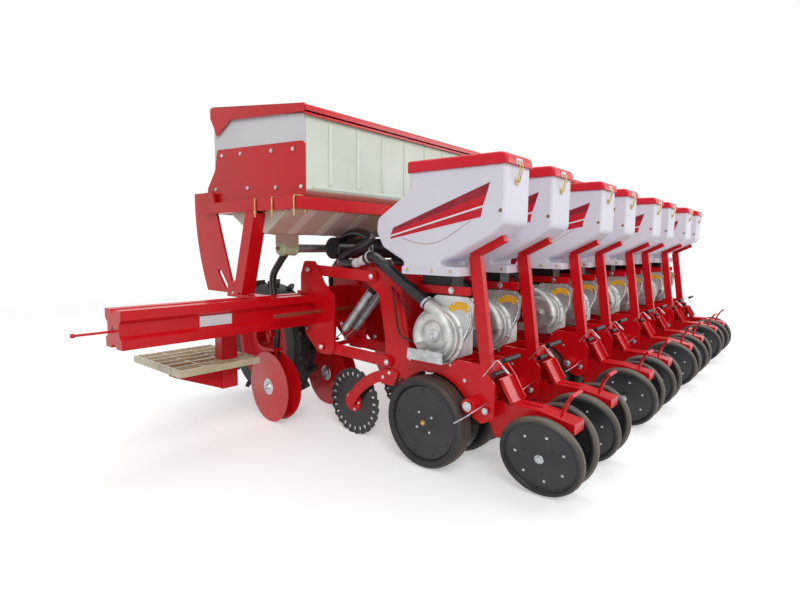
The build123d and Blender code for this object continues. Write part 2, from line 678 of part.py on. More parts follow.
def drive_wheel(side):
    """Lugged drive wheel about X, its rim dished inwards."""
    half = DRIVE_W / 2
    core_r = DRIVE_R - DRIVE_LUG
    profile = [
        (DRIVE_AXLE_R + RUN_FIT, -60), (60, -60), (60, -20), (DRIVE_RIM_R - 20, -20),
        (DRIVE_RIM_R, -half + 4), (core_r - 30, -half), (core_r, -half + 25), (core_r, half - 25),
        (core_r - 30, half), (DRIVE_RIM_R, half - 4), (DRIVE_RIM_R - 20, 20), (60, 20), (60, 60),
        (DRIVE_AXLE_R + RUN_FIT, 60),
    ]
    wheel = revolve(make_face(Plane.XZ * Polyline(*profile, close=True)), Axis.Z)
    for k in range(DRIVE_LUGS):
        turn = 360 / DRIVE_LUGS * k
        for flank in (-1, 1):
            lug = Rot(flank * 35, 0, 0) * Box(DRIVE_LUG + 10, 24, 66)
            lug = Pos(core_r + DRIVE_LUG / 2, 0, flank * 36) * lug
            wheel += Rot(0, 0, turn + (0 if flank > 0 else 180 / DRIVE_LUGS)) * lug
    wheel &= Cylinder(DRIVE_R, DRIVE_W)
    return Pos(side * DRIVE_X, DRIVE_Y, DRIVE_R) * Rot(0, 90, 0) * wheel


def drive_arm(side):
    """Arm from the toolbar to a drive wheel, on the wheel's inner side."""
    x = side * (DRIVE_X - DRIVE_W / 2 - 35)
    solid = link((BAR / 2 + 40, 640), (DRIVE_Y, DRIVE_R), 70, x - 10, x + 10)
    base = sorted((x + side * 12, x - side * 26))
    solid += block(*base, BAR / 2 + SEAT, BAR / 2 + 14, BAR_LOW - 10, BAR_TOP + 10)
    solid += rod_x(DRIVE_Y, DRIVE_R, DRIVE_AXLE_R, *sorted((x - side * 10, side * (DRIVE_X + 70))))
    solid += block(x - 10, x + 10, BAR / 2 + 10, BAR / 2 + 60, 605, 675)
    return solid


def fertiliser_shank():
    """Curved flat spring and bracket that carry one pair of fertiliser discs."""
    x = FERT_DX
    bracket = block(x - 38, x + 38, BAR / 2 + SEAT, BAR / 2 + 14, BAR_LOW - 20, BAR_TOP - 5)
    yc, zc = BAR / 2 + 30 + SPRING_R, 455
    ring = rod_x(yc, zc, SPRING_R, x - SPRING_W / 2, x + SPRING_W / 2)
    ring -= rod_x(yc, zc, SPRING_R - SPRING_T, x - SPRING_W, x + SPRING_W)
    ring -= block(x - SPRING_W, x + SPRING_W, yc - SPRING_R - 1, yc, zc - SPRING_R - 1, zc)
    lead = block(x - SPRING_W / 2, x + SPRING_W / 2, BAR / 2 + 2, yc, zc + SPRING_R - SPRING_T, zc + SPRING_R)
    riser = block(x - 30, x + 30, BAR / 2 + 5, BAR / 2 + 14, zc + SPRING_R - SPRING_T, BAR_LOW + 10)
    low = zc - SPRING_R
    foot = block(x - SPRING_W / 2, x + SPRING_W / 2, 90, yc, low, low + SPRING_T)
    fork = plate([(100, low + 5), (180, low + 5), (152, FERT_R - 4), (128, FERT_R - 4)], x - 6, x + 6)
    hub = rod_x(FERT_Y, FERT_R, 14, x - 15, x + 15)
    return bracket + ring + lead + riser + foot + fork + hub


def hitch():
    """Three-point hitch: two side plates on the toolbar, a cross tube with the lower pins, and a mast."""
    rear = BAR / 2 + SEAT
    top = HITCH_Z + MAST_HIGH
    mast_y = HITCH_Y - 95
    brace = HITCH_BRACE_X + HITCH_PLATE
    tube = HITCH_TUBE / 2
    side_plate = [
        (rear, BAR_LOW - 25, 4), (rear, BAR_TOP + 10, 4), (mast_y - 60, top - 90, 40), (mast_y + 30, top - 90, 12),
        (mast_y + 50, HITCH_Z + 80, 30), (mast_y + 50, HITCH_Z - 50, 16), (mast_y - 120, HITCH_Z - 70, 40),
    ]
    window = [
        (rear + 110, BAR_Z + 20, 25), (mast_y - 75, top - 190, 25), (mast_y - 10, top - 190, 20),
        (mast_y - 10, HITCH_Z + 75, 20),
    ]
    solid = block(-HITCH_HALF + 8, HITCH_HALF - 8, mast_y - tube, mast_y + tube, HITCH_Z - tube, HITCH_Z + tube)
    solid += block(-brace, brace, mast_y - 25, mast_y + 25, top - 160, top - 95)
    for side in (-1, 1):
        sides = span(side, brace - HITCH_PLATE, brace)
        solid += soft_plate(side_plate, *sides) - soft_plate(window, *sides)
        solid += block(*span(side, brace - 50, brace + 2), rear, rear + 12, BAR_LOW - 25, BAR_TOP + 10)
        cheek = [
            (mast_y - 55, HITCH_Z - 55, 10), (mast_y - 55, HITCH_Z + 55, 10), (HITCH_Y + 5, HITCH_Z + 42, 20),
            (HITCH_Y + 40, HITCH_Z, 30), (HITCH_Y + 5, HITCH_Z - 42, 20),
        ]
        solid += soft_plate(cheek, *span(side, HITCH_HALF - HITCH_PLATE, HITCH_HALF))
        solid += rod_x(HITCH_Y, HITCH_Z, HITCH_PIN_R, *span(side, HITCH_HALF - 12, HITCH_HALF + HITCH_PIN))
        ear = [
            (mast_y - 25, top - 150, 5), (mast_y + 25, top - 150, 5), (HITCH_Y + 32, top - 30, 14),
            (HITCH_Y + 32, top + 32, 20), (HITCH_Y - 32, top + 32, 20), (mast_y - 25, top - 60, 14),
        ]
        solid += soft_plate(ear, *span(side, TOP_LINK_GAP / 2, TOP_LINK_GAP / 2 + HITCH_PLATE))
    return solid - rod_x(HITCH_Y, top, TOP_LINK_R, -TOP_LINK_GAP, TOP_LINK_GAP)


def fan():
    """Vacuum fan above the toolbar, driven by the tractor's shaft, blowing down in front of the bar."""
    front = FAN_REAR + FAN_WIDE
    solid = rod_y(0, FAN_Z, FAN_R, FAN_REAR + 8, front - 8)
    for y in (FAN_REAR, front - 8):
        solid += rod_y(0, FAN_Z, FAN_R + 4, y, y + 8)
    outlet = (FAN_R - 80, FAN_R)
    solid += block(*outlet, FAN_REAR + 12, front - 12, FAN_Z - FAN_R - 15, FAN_Z)
    solid += block(outlet[0] - 8, outlet[1] + 4, FAN_REAR + 4, front - 4, FAN_Z - FAN_R - 23, FAN_Z - FAN_R - 15)
    solid += rod_y(0, FAN_Z, 95, front, front + 10) + rod_y(0, FAN_Z, 60, front, front + 40)
    solid += rod_y(0, FAN_Z, PTO_R, front + 40, front + 40 + PTO_LONG)
    solid += block(-110, 30, -60, FAN_REAR + 20, BAR_TOP + SEAT, BAR_TOP + 12)
    return solid + block(-110, 30, FAN_REAR, FAN_REAR + 20, BAR_TOP + SEAT, FAN_Z)


def air_pipe():
    """The long suction pipe on its saddles, with the branch that meets the fan's rear face."""
    solid = rod_x(PIPE_Y, PIPE_Z, PIPE_R, ROWS[0] - 160, ROWS[-1] + 60)
    solid += rod_y(INLET_X, INLET_Z, INLET_R, PIPE_Y, FAN_REAR - SEAT)
    for x in (-1500.0, -500.0, 500.0, 1500.0):
        solid += block(x - 25, x + 25, -BAR / 2, PIPE_Y + PIPE_R, BAR_TOP + SEAT, PIPE_Z)
    return solid


def air_hose():
    """One suction hose along its route, in straight runs and arcs."""
    corners = [Vector(*p) for p in HOSE_ROUTE]
    runs = [(b - a).length for a, b in zip(corners, corners[1:])]
    radii = []
    for k in range(1, len(corners) - 1):
        turn = radians((corners[k] - corners[k - 1]).get_angle(corners[k + 1] - corners[k]))
        radii.append(0.45 * min(runs[k - 1], runs[k]) / tan(turn / 2))
    path = FilletPolyline(*HOSE_ROUTE, radius=radii)
    print("hose radii", [round(r) for r in radii])
    start = Plane(origin=path @ 0, z_dir=path % 0)
    hose = sweep(start * Circle(HOSE_R), path=path)
    return hose - rod_x(PIPE_Y, PIPE_Z, PIPE_R + SEAT, -ROW_NARROW / 2, 0)


def springs():
    """Two down-force springs of one row, hooked over the lower front and the upper rear pins."""
    pair = []
    for x in (-SPRING_X, SPRING_X):
        foot, head = Vector(x, *LOWER_FRONT), Vector(x, *UPPER_REAR)
        way = (head - foot).normalized()
        wire = rod(tuple(foot + way * (PIVOT_R + SEAT)), tuple(head - way * (PIVOT_R + SEAT)), SPRING_WIRE)
        coil = rod(tuple(foot + way * SPRING_HOOK), tuple(head - way * SPRING_HOOK), SPRING_COIL)
        pair.append(wire + coil)
    return pair


def metering():
    """Fertiliser metering boxes under the tank, their rotor housings and the shaft that turns them."""
    solid = rod_x(0, SHAFT_Z, SHAFT_R, ROWS[0] - 290, ROWS[-1] + 60)
    for x in ROWS:
        middle = x + FERT_DX
        sides = (middle - METERING_X, middle + METERING_X)
        solid += block(*sides, -METERING_HALF, METERING_HALF, 890, TANK_FLOOR_Z - SEAT)
        solid += rod_x(0, SHAFT_Z, ROTOR_R, middle + METERING_X, middle + METERING_X + ROTOR)
    return solid


def step(side):
    """Grated step with two cross bars, on a hanging channel."""
    x1 = side * STEP_X
    x0 = side * (STEP_X + STEP_HALF)
    solid = block(*sorted((x0, x1)), STEP_REAR, STEP_FRONT, STEP_Z - STEP_FRAME, STEP_Z)
    lane = (STEP_FRONT - STEP_REAR - 20) / STEP_LANES
    for k in range(STEP_LANES):
        y = STEP_REAR + 10 + k * lane
        hole = sorted((x0 - side * 15, x1 + side * 15))
        solid -= block(*hole, y + 8, y + lane - 8, STEP_Z - STEP_FRAME - 1, STEP_Z + 1)
    for k in (1, 2):
        x = x1 + (x0 - x1) * k / 3
        solid += block(x - 6, x + 6, STEP_REAR, STEP_FRONT, STEP_Z - STEP_FRAME, STEP_Z - 4)
    post_x = side * STEP_POST_X
    face = BAR / 2 + SEAT
    solid += block(post_x - 40, post_x + 40, face, face + 60, STEP_POST_LOW, BAR_TOP - 10)
    return solid - block(post_x - 28, post_x + 28, face + 12, face + 61, STEP_POST_LOW - 1, STEP_Z - STEP_FRAME - 20)


def save(name, solids):
    """Move the solids to the machine's origin and write them to one file."""
    shift = Pos(0, -ORIGIN_Y, 0)
    solids = solids if isinstance(solids, list) else [solids]
    moved = [shift * s for s in solids]
    shape = moved[0] if len(moved) == 1 else Compound(children=moved)
    export_step(shape, "parts/" + name + ".step")


os.makedirs("parts", exist_ok=True)
save("toolbar", toolbar())
save("row_brackets", at_rows(row_bracket()) + [meter_shaft()])
save("parallel_links", [Pos(x, 0, 0) * s for x in ROWS for s in parallel_links()])
save("row_frames", [Pos(x, 0, 0) * s for x in ROWS for s in row_frame()])
save("press_arms", at_rows(press_arm()))
save("seed_meters", at_rows(seed_meter()))
save("seed_hoppers", at_rows(seed_hopper()))
save("springs", [Pos(x, 0, 0) * s for x in ROWS for s in springs()])
save("opener_discs", opener_discs())
save("fertiliser_shanks", at_rows(fertiliser_shank()))
save("fertiliser_tank", fertiliser_tank())
save("tank_lid", tank_lid())
save("tank_frame", [tank_frame(), drive_arm(-1), drive_arm(1)] + end_brackets())
save("fertiliser_metering", metering())
save("hitch", hitch())
save("fan", fan())
save("air_lines", [air_pipe()] + at_rows(air_hose()))
save("steps", [step(-1), step(1)])
for number, x in enumerate(ROWS, start=1):
    save("gauge_wheels_%d" % number, [Pos(x, 0, 0) * w for w in gauge_pair()])
    save("coulter_%d" % number, Pos(x, 0, 0) * coulter())
    save("press_wheel_%dl" % number, Pos(x, 0, 0) * press_wheel(-1))
    save("press_wheel_%dr" % number, Pos(x, 0, 0) * press_wheel(1))
    save("hopper_lid_%d" % number, hopper_lid(x))
save("drive_wheel_l", drive_wheel(-1))
save("drive_wheel_r", drive_wheel(1))
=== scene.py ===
# %% [markdown]
# # An eight-row pneumatic seeder, dressed in Blender
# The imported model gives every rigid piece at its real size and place, in metres: +X is the
# machine's right, +Y its front, +Z up. This lesson adds the looks: paint, moulded plastic, cast
# metal, rubber and hoses. Each step says what the piece is on the real machine, how it could be
# made, and why it was made this way.

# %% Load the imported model
import json
import math

import bmesh
import bpy
from mathutils import Matrix, Vector

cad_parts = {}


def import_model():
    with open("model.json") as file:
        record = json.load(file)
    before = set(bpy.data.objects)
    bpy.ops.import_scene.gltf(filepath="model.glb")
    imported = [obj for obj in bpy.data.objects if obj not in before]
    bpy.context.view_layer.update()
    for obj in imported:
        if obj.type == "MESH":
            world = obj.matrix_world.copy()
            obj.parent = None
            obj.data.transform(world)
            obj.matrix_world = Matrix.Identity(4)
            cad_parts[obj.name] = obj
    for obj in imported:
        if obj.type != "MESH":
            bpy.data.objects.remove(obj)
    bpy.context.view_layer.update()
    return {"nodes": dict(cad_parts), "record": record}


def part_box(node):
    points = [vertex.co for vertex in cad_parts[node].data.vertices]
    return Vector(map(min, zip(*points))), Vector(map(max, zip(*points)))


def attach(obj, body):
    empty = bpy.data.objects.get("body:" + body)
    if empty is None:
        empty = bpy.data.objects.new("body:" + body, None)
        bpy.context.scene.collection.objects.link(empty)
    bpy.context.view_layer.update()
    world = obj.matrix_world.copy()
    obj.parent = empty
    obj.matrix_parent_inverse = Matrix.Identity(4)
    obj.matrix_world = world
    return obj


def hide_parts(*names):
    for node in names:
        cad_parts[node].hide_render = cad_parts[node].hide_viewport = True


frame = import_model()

nodes = frame["nodes"]
scene = bpy.context.scene

# %% [markdown]
# ## Camera
# The machine was photographed from behind its left end, at chest height, with a wide lens. The
# place and the three angles were worked out from straight edges of the toolbar, the tank and the
# row of wheels. A camera could also be aimed with a Track To constraint, but that has no roll, and
# this photograph leans a little.

# %% Camera at the photograph's place
CAMERA_AT = Vector((-3.48, -1.722, 0.93))
CAMERA_YAW = math.radians(40.13)
CAMERA_DOWN = math.radians(6.13)
CAMERA_ROLL = math.radians(0.66)
PHOTO_WIDE = 800
FOCAL_PX = 502.3
SENSOR_MM = 36.0


def camera_matrix():
    """Columns are the camera's right, up and backward directions."""
    ahead = Vector((math.cos(CAMERA_YAW), math.sin(CAMERA_YAW), 0))
    right = Vector((math.sin(CAMERA_YAW), -math.cos(CAMERA_YAW), 0))
    up = Vector((0, 0, 1))
    look = ahead * math.cos(CAMERA_DOWN) - up * math.sin(CAMERA_DOWN)
    top = up * math.cos(CAMERA_DOWN) + ahead * math.sin(CAMERA_DOWN)
    side = right * math.cos(CAMERA_ROLL) + top * math.sin(CAMERA_ROLL)
    head = top * math.cos(CAMERA_ROLL) - right * math.sin(CAMERA_ROLL)
    return Matrix((side, head, -look)).transposed().to_4x4()


lens = bpy.data.cameras.new("camera")
lens.sensor_width = SENSOR_MM
lens.lens = FOCAL_PX / PHOTO_WIDE * SENSOR_MM
camera = bpy.data.objects.new("camera", lens)
camera.matrix_world = Matrix.Translation(CAMERA_AT) @ camera_matrix()
scene.collection.objects.link(camera)
scene.camera = camera
scene.view_settings.view_transform = "Standard"
print("lens %.2f mm" % lens.lens)

# %% [markdown]
# ## Node helpers
# A finish is a small tree of nodes: noise for the pattern, a ramp that turns it into colour, a
# bump for the relief. These helpers keep each finish to a few lines. A value that is the same
# everywhere is set on the shader's own socket. Colours are written as on a screen, 0 to 255, and
# turned into linear light.

# %% Helpers for finishes
COAT_ROUGH = 0.12
NOISE_ROUGH = 0.55


def linear(*rgb):
    """Screen colour, 0 to 255, as linear light with alpha."""
    parts = [c / 255 for c in rgb]
    return [c / 12.92 if c <= 0.04045 else ((c + 0.055) / 1.055) ** 2.4 for c in parts] + [1.0]


class Finish:
    """A material under construction: its node tree and its shader."""

    def __init__(self, name, rough, metal=0.0, coat=0.0):
        self.material = bpy.data.materials.new(name)
        self.material.use_nodes = True
        self.tree = self.material.node_tree
        self.shader = self.tree.nodes["Principled BSDF"]
        self.shader.inputs["Roughness"].default_value = rough
        self.shader.inputs["Metallic"].default_value = metal
        self.shader.inputs["Coat Weight"].default_value = coat
        self.shader.inputs["Coat Roughness"].default_value = COAT_ROUGH
        self.coordinates = self.tree.nodes.new("ShaderNodeTexCoord").outputs["Object"]

    def node(self, kind, **links):
        """A node whose inputs are linked or set by their names."""
        made = self.tree.nodes.new(kind)
        for key, value in links.items():
            self.feed(value, made.inputs[key])
        return made

    def feed(self, value, socket):
        """Link a socket, or set a plain value."""
        if isinstance(value, bpy.types.NodeSocket):
            self.tree.links.new(value, socket)
        else:
            socket.default_value = value

    def noise(self, scale, detail, stretch=None):
        """Soft noise, 0 to 1, from coordinates that stretch scales apart along X, Y and Z."""
        where = self.coordinates
        if stretch:
            where = self.node("ShaderNodeMapping", Vector=where, Scale=stretch).outputs["Vector"]
        return self.node("ShaderNodeTexNoise", Vector=where, Scale=scale, Detail=detail,
                         Roughness=NOISE_ROUGH).outputs["Fac"]

    def axis(self, name):
        """One coordinate of the object."""
        return self.node("ShaderNodeSeparateXYZ", Vector=self.coordinates).outputs[name]

    def across(self, *names):
        """Distance from an axis of the object, from its two other coordinates."""
        squares = [self.maths("MULTIPLY", self.axis(n), self.axis(n)) for n in names]
        return self.maths("SQRT", self.maths("ADD", *squares))

    def maths(self, operation, first, second=0.0):
        """Arithmetic on one or two values."""
        made = self.tree.nodes.new("ShaderNodeMath")
        made.operation = operation
        self.feed(first, made.inputs[0])
        self.feed(second, made.inputs[1])
        return made.outputs["Value"]

    def ramp(self, value, *stops):
        """Colour from a value, by stops of (place, colour or grey)."""
        made = self.node("ShaderNodeValToRGB", Fac=value)
        elements = made.color_ramp.elements
        for element, (place, colour) in zip(elements, stops):
            grey = isinstance(colour, (int, float))
            element.position = place
            element.color = (colour, colour, colour, 1.0) if grey else colour
        return made.outputs["Color"]

    def mix(self, share, first, second):
        """One colour over another."""
        made = self.tree.nodes.new("ShaderNodeMix")
        made.data_type = "RGBA"
        self.feed(share, made.inputs["Factor"])
        self.feed(first, made.inputs["A"])
        self.feed(second, made.inputs["B"])
        return made.outputs["Result"]

    def upward(self):
        """How much a surface faces up, for dust."""
        normal = self.node("ShaderNodeNewGeometry").outputs["Normal"]
        return self.node("ShaderNodeSeparateXYZ", Vector=normal).outputs["Z"]

    def relief(self, height, strength, depth, edge):
        """Bump, over edges that look rounded to a radius in metres."""
        made = self.node("ShaderNodeBump", Height=height, Strength=strength, Distance=depth)
        rounded = self.node("ShaderNodeBevel", Radius=edge)
        self.tree.links.new(rounded.outputs["Normal"], made.inputs["Normal"])
        self.tree.links.new(made.outputs["Normal"], self.shader.inputs["Normal"])

    def colour(self, value):
        """The base colour."""
        self.feed(value, self.shader.inputs["Base Color"])

    def roughness(self, value, low, high):
        """Roughness that follows a pattern between two values."""
        made = self.node("ShaderNodeMapRange", Value=value)
        made.inputs["To Min"].default_value = low
        made.inputs["To Max"].default_value = high
        self.tree.links.new(made.outputs["Result"], self.shader.inputs["Roughness"])


print("screen grey 128 is %.3f in linear light" % linear(128, 128, 128)[0])

# %% [markdown]
# ## Red paint
# The steelwork is sprayed in a bright glossy red. Sprayed paint has a faint orange-peel relief, is
# a little uneven in tone, and its arrises catch the light because the steel under them is not
# knife-sharp. The Bevel node rounds the edges in the shading alone, so the steelwork keeps its
# real form. Old farm dust lies only thinly here, since the machine is new.

# %% Paints
PAINT_SHINE = 0.3
DUST_SHARE = 0.22
DUST = linear(190, 130, 120)


def paint(name, deep, bright, rough, coat):
    """Sprayed paint: two close tones, orange peel, thin dust on what faces up."""
    finish = Finish(name, rough, coat=coat)
    finish.shader.inputs["Specular IOR Level"].default_value = PAINT_SHINE
    tone = finish.ramp(finish.noise(2.3, 3), (0.3, linear(*deep)), (0.7, linear(*bright)))
    patches = finish.ramp(finish.noise(6, 5), (0.5, 0.0), (0.85, DUST_SHARE))
    dust = finish.maths("MULTIPLY", patches, finish.upward())
    dust = finish.maths("MAXIMUM", dust, 0.0)
    finish.colour(finish.mix(dust, tone, DUST))
    finish.roughness(finish.noise(11, 3), rough * 0.8, rough * 1.35)
    finish.relief(finish.noise(130, 1), 0.05, 0.0005, edge=0.0025)
    return finish.material


RED = paint("red_paint", (200, 6, 18), (216, 10, 26), 0.30, 0.12)
DISC_RED = paint("disc_red", (206, 16, 24), (224, 28, 34), 0.24, 0.35)
print("paints", RED.name, DISC_RED.name)

# %% [markdown]
# ## Moulded plastics
# The seed hoppers are blow-moulded in white polyethylene that takes a lavender tint in the shade;
# their lids are red plastic, paler than the paint. The big tank is natural polyethylene, greenish
# white and faintly see-through, so the shade of what is inside shows through it; its darker clouds
# are that shade, painted into its colour. Plastic has a broad, soft gloss and a fine pebble from
# the mould. Scattering under the surface would be truer, but it renders slowly, and two close
# tones in clouds already look like it.

# %% Plastics
PLASTIC_SHINE = 0.35


def moulded(name, shade, light, rough, cloud=1.6):
    """Moulded plastic: two tones in large clouds and a fine pebbled skin."""
    finish = Finish(name, rough)
    finish.shader.inputs["Specular IOR Level"].default_value = PLASTIC_SHINE
    finish.colour(finish.ramp(finish.noise(cloud, 3), (0.3, linear(*shade)),
                              (0.7, linear(*light))))
    finish.roughness(finish.noise(26, 4), rough * 0.85, rough * 1.2)
    finish.relief(finish.noise(260, 3), 0.10, 0.0008, edge=0.003)
    return finish.material


HOPPER_WHITE = moulded("hopper_white", (222, 221, 235), (232, 231, 241), 0.42)
LID_RED = moulded("lid_red", (212, 20, 40), (224, 34, 54), 0.42)
# The tank's darker clouds are painted shade of the load seen through its wall.
TANK_WHITE_LOAD_SHADE = moulded("tank_white_load_shade", (208, 222, 202), (226, 236, 222), 0.40, cloud=2.4)
PANEL_WHITE = moulded("panel_white", (216, 216, 220), (228, 228, 232), 0.40)
PALE_GREEN = moulded("pale_green", (196, 214, 168), (216, 228, 188), 0.50)
BLACK_PLASTIC = moulded("black_plastic", (18, 18, 20), (30, 30, 33), 0.38)
TANK_FLOOR = moulded("tank_floor", (204, 174, 156), (222, 196, 180), 0.46, cloud=3.0)
# A paler copy of the floor's brown for its ribs: a painted highlight where they catch the light.
TANK_RIB_HIGHLIGHT = moulded("tank_rib_highlight", (226, 206, 192), (238, 222, 210), 0.46, cloud=3.0)
print("paints and plastics", len(bpy.data.materials))

# %% [markdown]
# ## Metals, rubber and hose
# Bolts and springs are zinc plated, some of them in a yellow chromate. The meters are cast
# aluminium, polished by handling. Tyres are black rubber with field dust on the tread, so their
# colour follows the distance from the axle. A picture of a texture would need unwrapping; a small
# pattern of noise, shared by colour, roughness and relief, fits every shape as it is.

# %% Helpers for metal, tyres and black parts


def metal(name, dark, light, rough, scale=30.0, stretch=None):
    """Bare or plated metal: two tones, uneven polish, fine scratches."""
    finish = Finish(name, rough, metal=1.0)
    tones = finish.noise(scale, 5, stretch=stretch)
    finish.colour(finish.ramp(tones, (0.3, linear(*dark)), (0.7, linear(*light))))
    finish.roughness(finish.noise(scale * 2.5, 4), rough * 0.7, rough * 1.4)
    finish.relief(finish.noise(scale * 12, 3), 0.10, 0.0005, edge=0.0008)
    return finish.material


def tyre(name, rim, tread, dust):
    """Black rubber that turns dusty from the rim out to the tread, in streaks round the axle."""
    finish = Finish(name, 0.62)
    reach = finish.node("ShaderNodeMapRange", Value=finish.across("X", "Y"))
    reach.inputs["From Min"].default_value = rim
    reach.inputs["From Max"].default_value = tread
    streaks = finish.noise(34, 5, stretch=(0.25, 0.25, 3.0))
    share = finish.maths("MULTIPLY", finish.ramp(reach.outputs["Result"], (0.45, 0.0), (0.98, 1.0)),
                         finish.ramp(streaks, (0.35, 0.25), (0.68, 0.95)))
    rubber = finish.ramp(finish.noise(12, 5), (0.3, linear(22, 22, 24)), (0.7, linear(40, 40, 43)))
    finish.colour(finish.mix(share, rubber, linear(*dust)))
    finish.roughness(finish.noise(30, 4), 0.45, 0.75)
    finish.relief(finish.noise(150, 4), 0.18, 0.0008, edge=0.001)
    return finish.material


def black(name, low, high, rough, scale=18.0, dust=0.25):
    """Black paint or plastic with a thin film of dust in patches."""
    finish = Finish(name, rough, coat=0.12)
    base = finish.ramp(finish.noise(scale, 6), (0.3, linear(*low)), (0.7, linear(*high)))
    film = finish.ramp(finish.noise(scale * 0.5, 6), (0.45, 0.0), (0.8, dust))
    finish.colour(finish.mix(film, base, linear(98, 96, 94)))
    finish.roughness(finish.noise(scale * 2, 5), rough * 0.75, rough * 1.3)
    finish.relief(finish.noise(scale * 18, 3), 0.12, 0.0006, edge=0.001)
    return finish.material


# %% Metals, rubber, hose and the stripes' film
ZINC = metal("zinc", (176, 180, 184), (222, 224, 226), 0.30, 46)
YELLOW_ZINC = metal("yellow_zinc", (176, 148, 92), (222, 200, 150), 0.38, 40)
GALVANISED = metal("galvanised", (156, 160, 162), (206, 210, 212), 0.46, 24)
CAST = metal("cast_aluminium", (172, 174, 172), (214, 215, 212), 0.56, 14)
DISC_STEEL = metal("disc_steel", (120, 118, 116), (180, 178, 174), 0.30, 20, (1, 1, 6))
BROWN_SHAFT = metal("rusty_shaft", (120, 78, 58), (168, 118, 92), 0.55, 60, (0.2, 1, 1))
GAUGE_TYRE = tyre("gauge_tyre", 0.160, 0.195, (92, 78, 66))
PRESS_TYRE = tyre("press_tyre", 0.138, 0.162, (122, 112, 98))
FACE_BLACK = black("wheel_face", (18, 19, 22), (34, 36, 40), 0.36, 9, 0.18)
HOSE_BLACK = black("hose_black", (14, 15, 20), (30, 31, 38), 0.30, 14, 0.10)
# Near-black for holes and openings: painted shade where one would see into them.
SHADOW = black("hole_painted_shade", (4, 4, 5), (12, 12, 13), 0.60, 60, 0.0)
DECAL_DARK = moulded("decal_dark", (136, 18, 36), (164, 34, 52), 0.34, cloud=14)
DECAL_RED = moulded("decal_red", (196, 14, 34), (214, 24, 44), 0.34, cloud=14)
DECAL_WHITE = moulded("decal_white", (238, 238, 242), (248, 248, 250), 0.36, cloud=14)
SCALE_YELLOW = moulded("scale_yellow", (226, 164, 30), (244, 190, 60), 0.40, cloud=40)
print("materials", len(bpy.data.materials))

# %% [markdown]
# ## Drawing tools
# Pieces are drawn in millimetres, like the machine's own drawing: X across, Y forward from the
# toolbar's centre line, Z up from the floor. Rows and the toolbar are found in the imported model.
# Lines are splines through a few points; curve objects could do this too, but plain points can
# also steer a radius, a coil or a row of ribs.

# %% Places, outlines and lines
MM = 0.001
BAR_AT = Vector((0, sum(corner.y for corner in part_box("toolbar")) / 2, 0))
ROWS = [sum(corner.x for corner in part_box("gauge_wheels_%d" % n)) / 2 / MM for n in range(1, 9)]
ACROSS = Matrix(((0, 0, 1, 0), (1, 0, 0, 0), (0, 1, 0, 0), (0, 0, 0, 1)))
JOINTS = {joint["name"]: joint for joint in frame["record"]["behaviour"]["joints"]}


def along(start, way):
    """A place whose Z runs along a direction."""
    return Matrix.Translation(start) @ Vector(way).to_track_quat("Z", "Y").to_matrix().to_4x4()


def soft(corners, steps=5):
    """A closed outline whose corners (a, b, radius) are rounded."""
    points = []
    for k, (a, b, radius) in enumerate(corners):
        here = Vector((a, b))
        before = (Vector(corners[k - 1][:2]) - here).normalized()
        after = (Vector(corners[(k + 1) % len(corners)][:2]) - here).normalized()
        if radius == 0:
            points.append(here)
            continue
        back = radius / math.tan(before.angle(after) / 2)
        first, last = here + before * back, here + after * back
        for i in range(steps + 1):
            t = i / steps
            points.append(first * (1 - t) ** 2 + here * 2 * t * (1 - t) + last * t ** 2)
    return points


def curve(points, step=8.0):
    """A smooth line through points, as points about a step apart."""
    knots = [Vector(p) for p in points]
    knots = [knots[0] * 2 - knots[1]] + knots + [knots[-1] * 2 - knots[-2]]
    line = []
    for a, b, c, d in zip(knots, knots[1:], knots[2:], knots[3:]):
        count = max(2, round((c - b).length / step))
        for i in range(count):
            t = i / count
            line.append(0.5 * (b * 2 + (c - a) * t + (a * 2 - b * 5 + c * 4 - d) * t ** 2
                               + (b * 3 - a - c * 3 + d) * t ** 3))
    return line + [knots[-2]]


def ring_of(count, reach, height=0.0, shift=0.0):
    """Points round an axle, for bolts and dimples."""
    for k in range(count):
        angle = 2 * math.pi * (k + shift) / count
        yield reach * math.cos(angle), reach * math.sin(angle), height


def shift_to(x):
    """The place of a row, for parts drawn in a row's own measures."""
    return Matrix.Translation((x, 0, 0))


# %% [markdown]
# ## Shapes
# A Shape collects plates, turned parts, tubes and bolts in one mesh. Its place puts what is drawn
# next where it belongs, and its finish says which material that part gets. Modifiers could turn
# and bevel too, but one plain mesh exports as it is, and its faces stay few.

# %% Shape


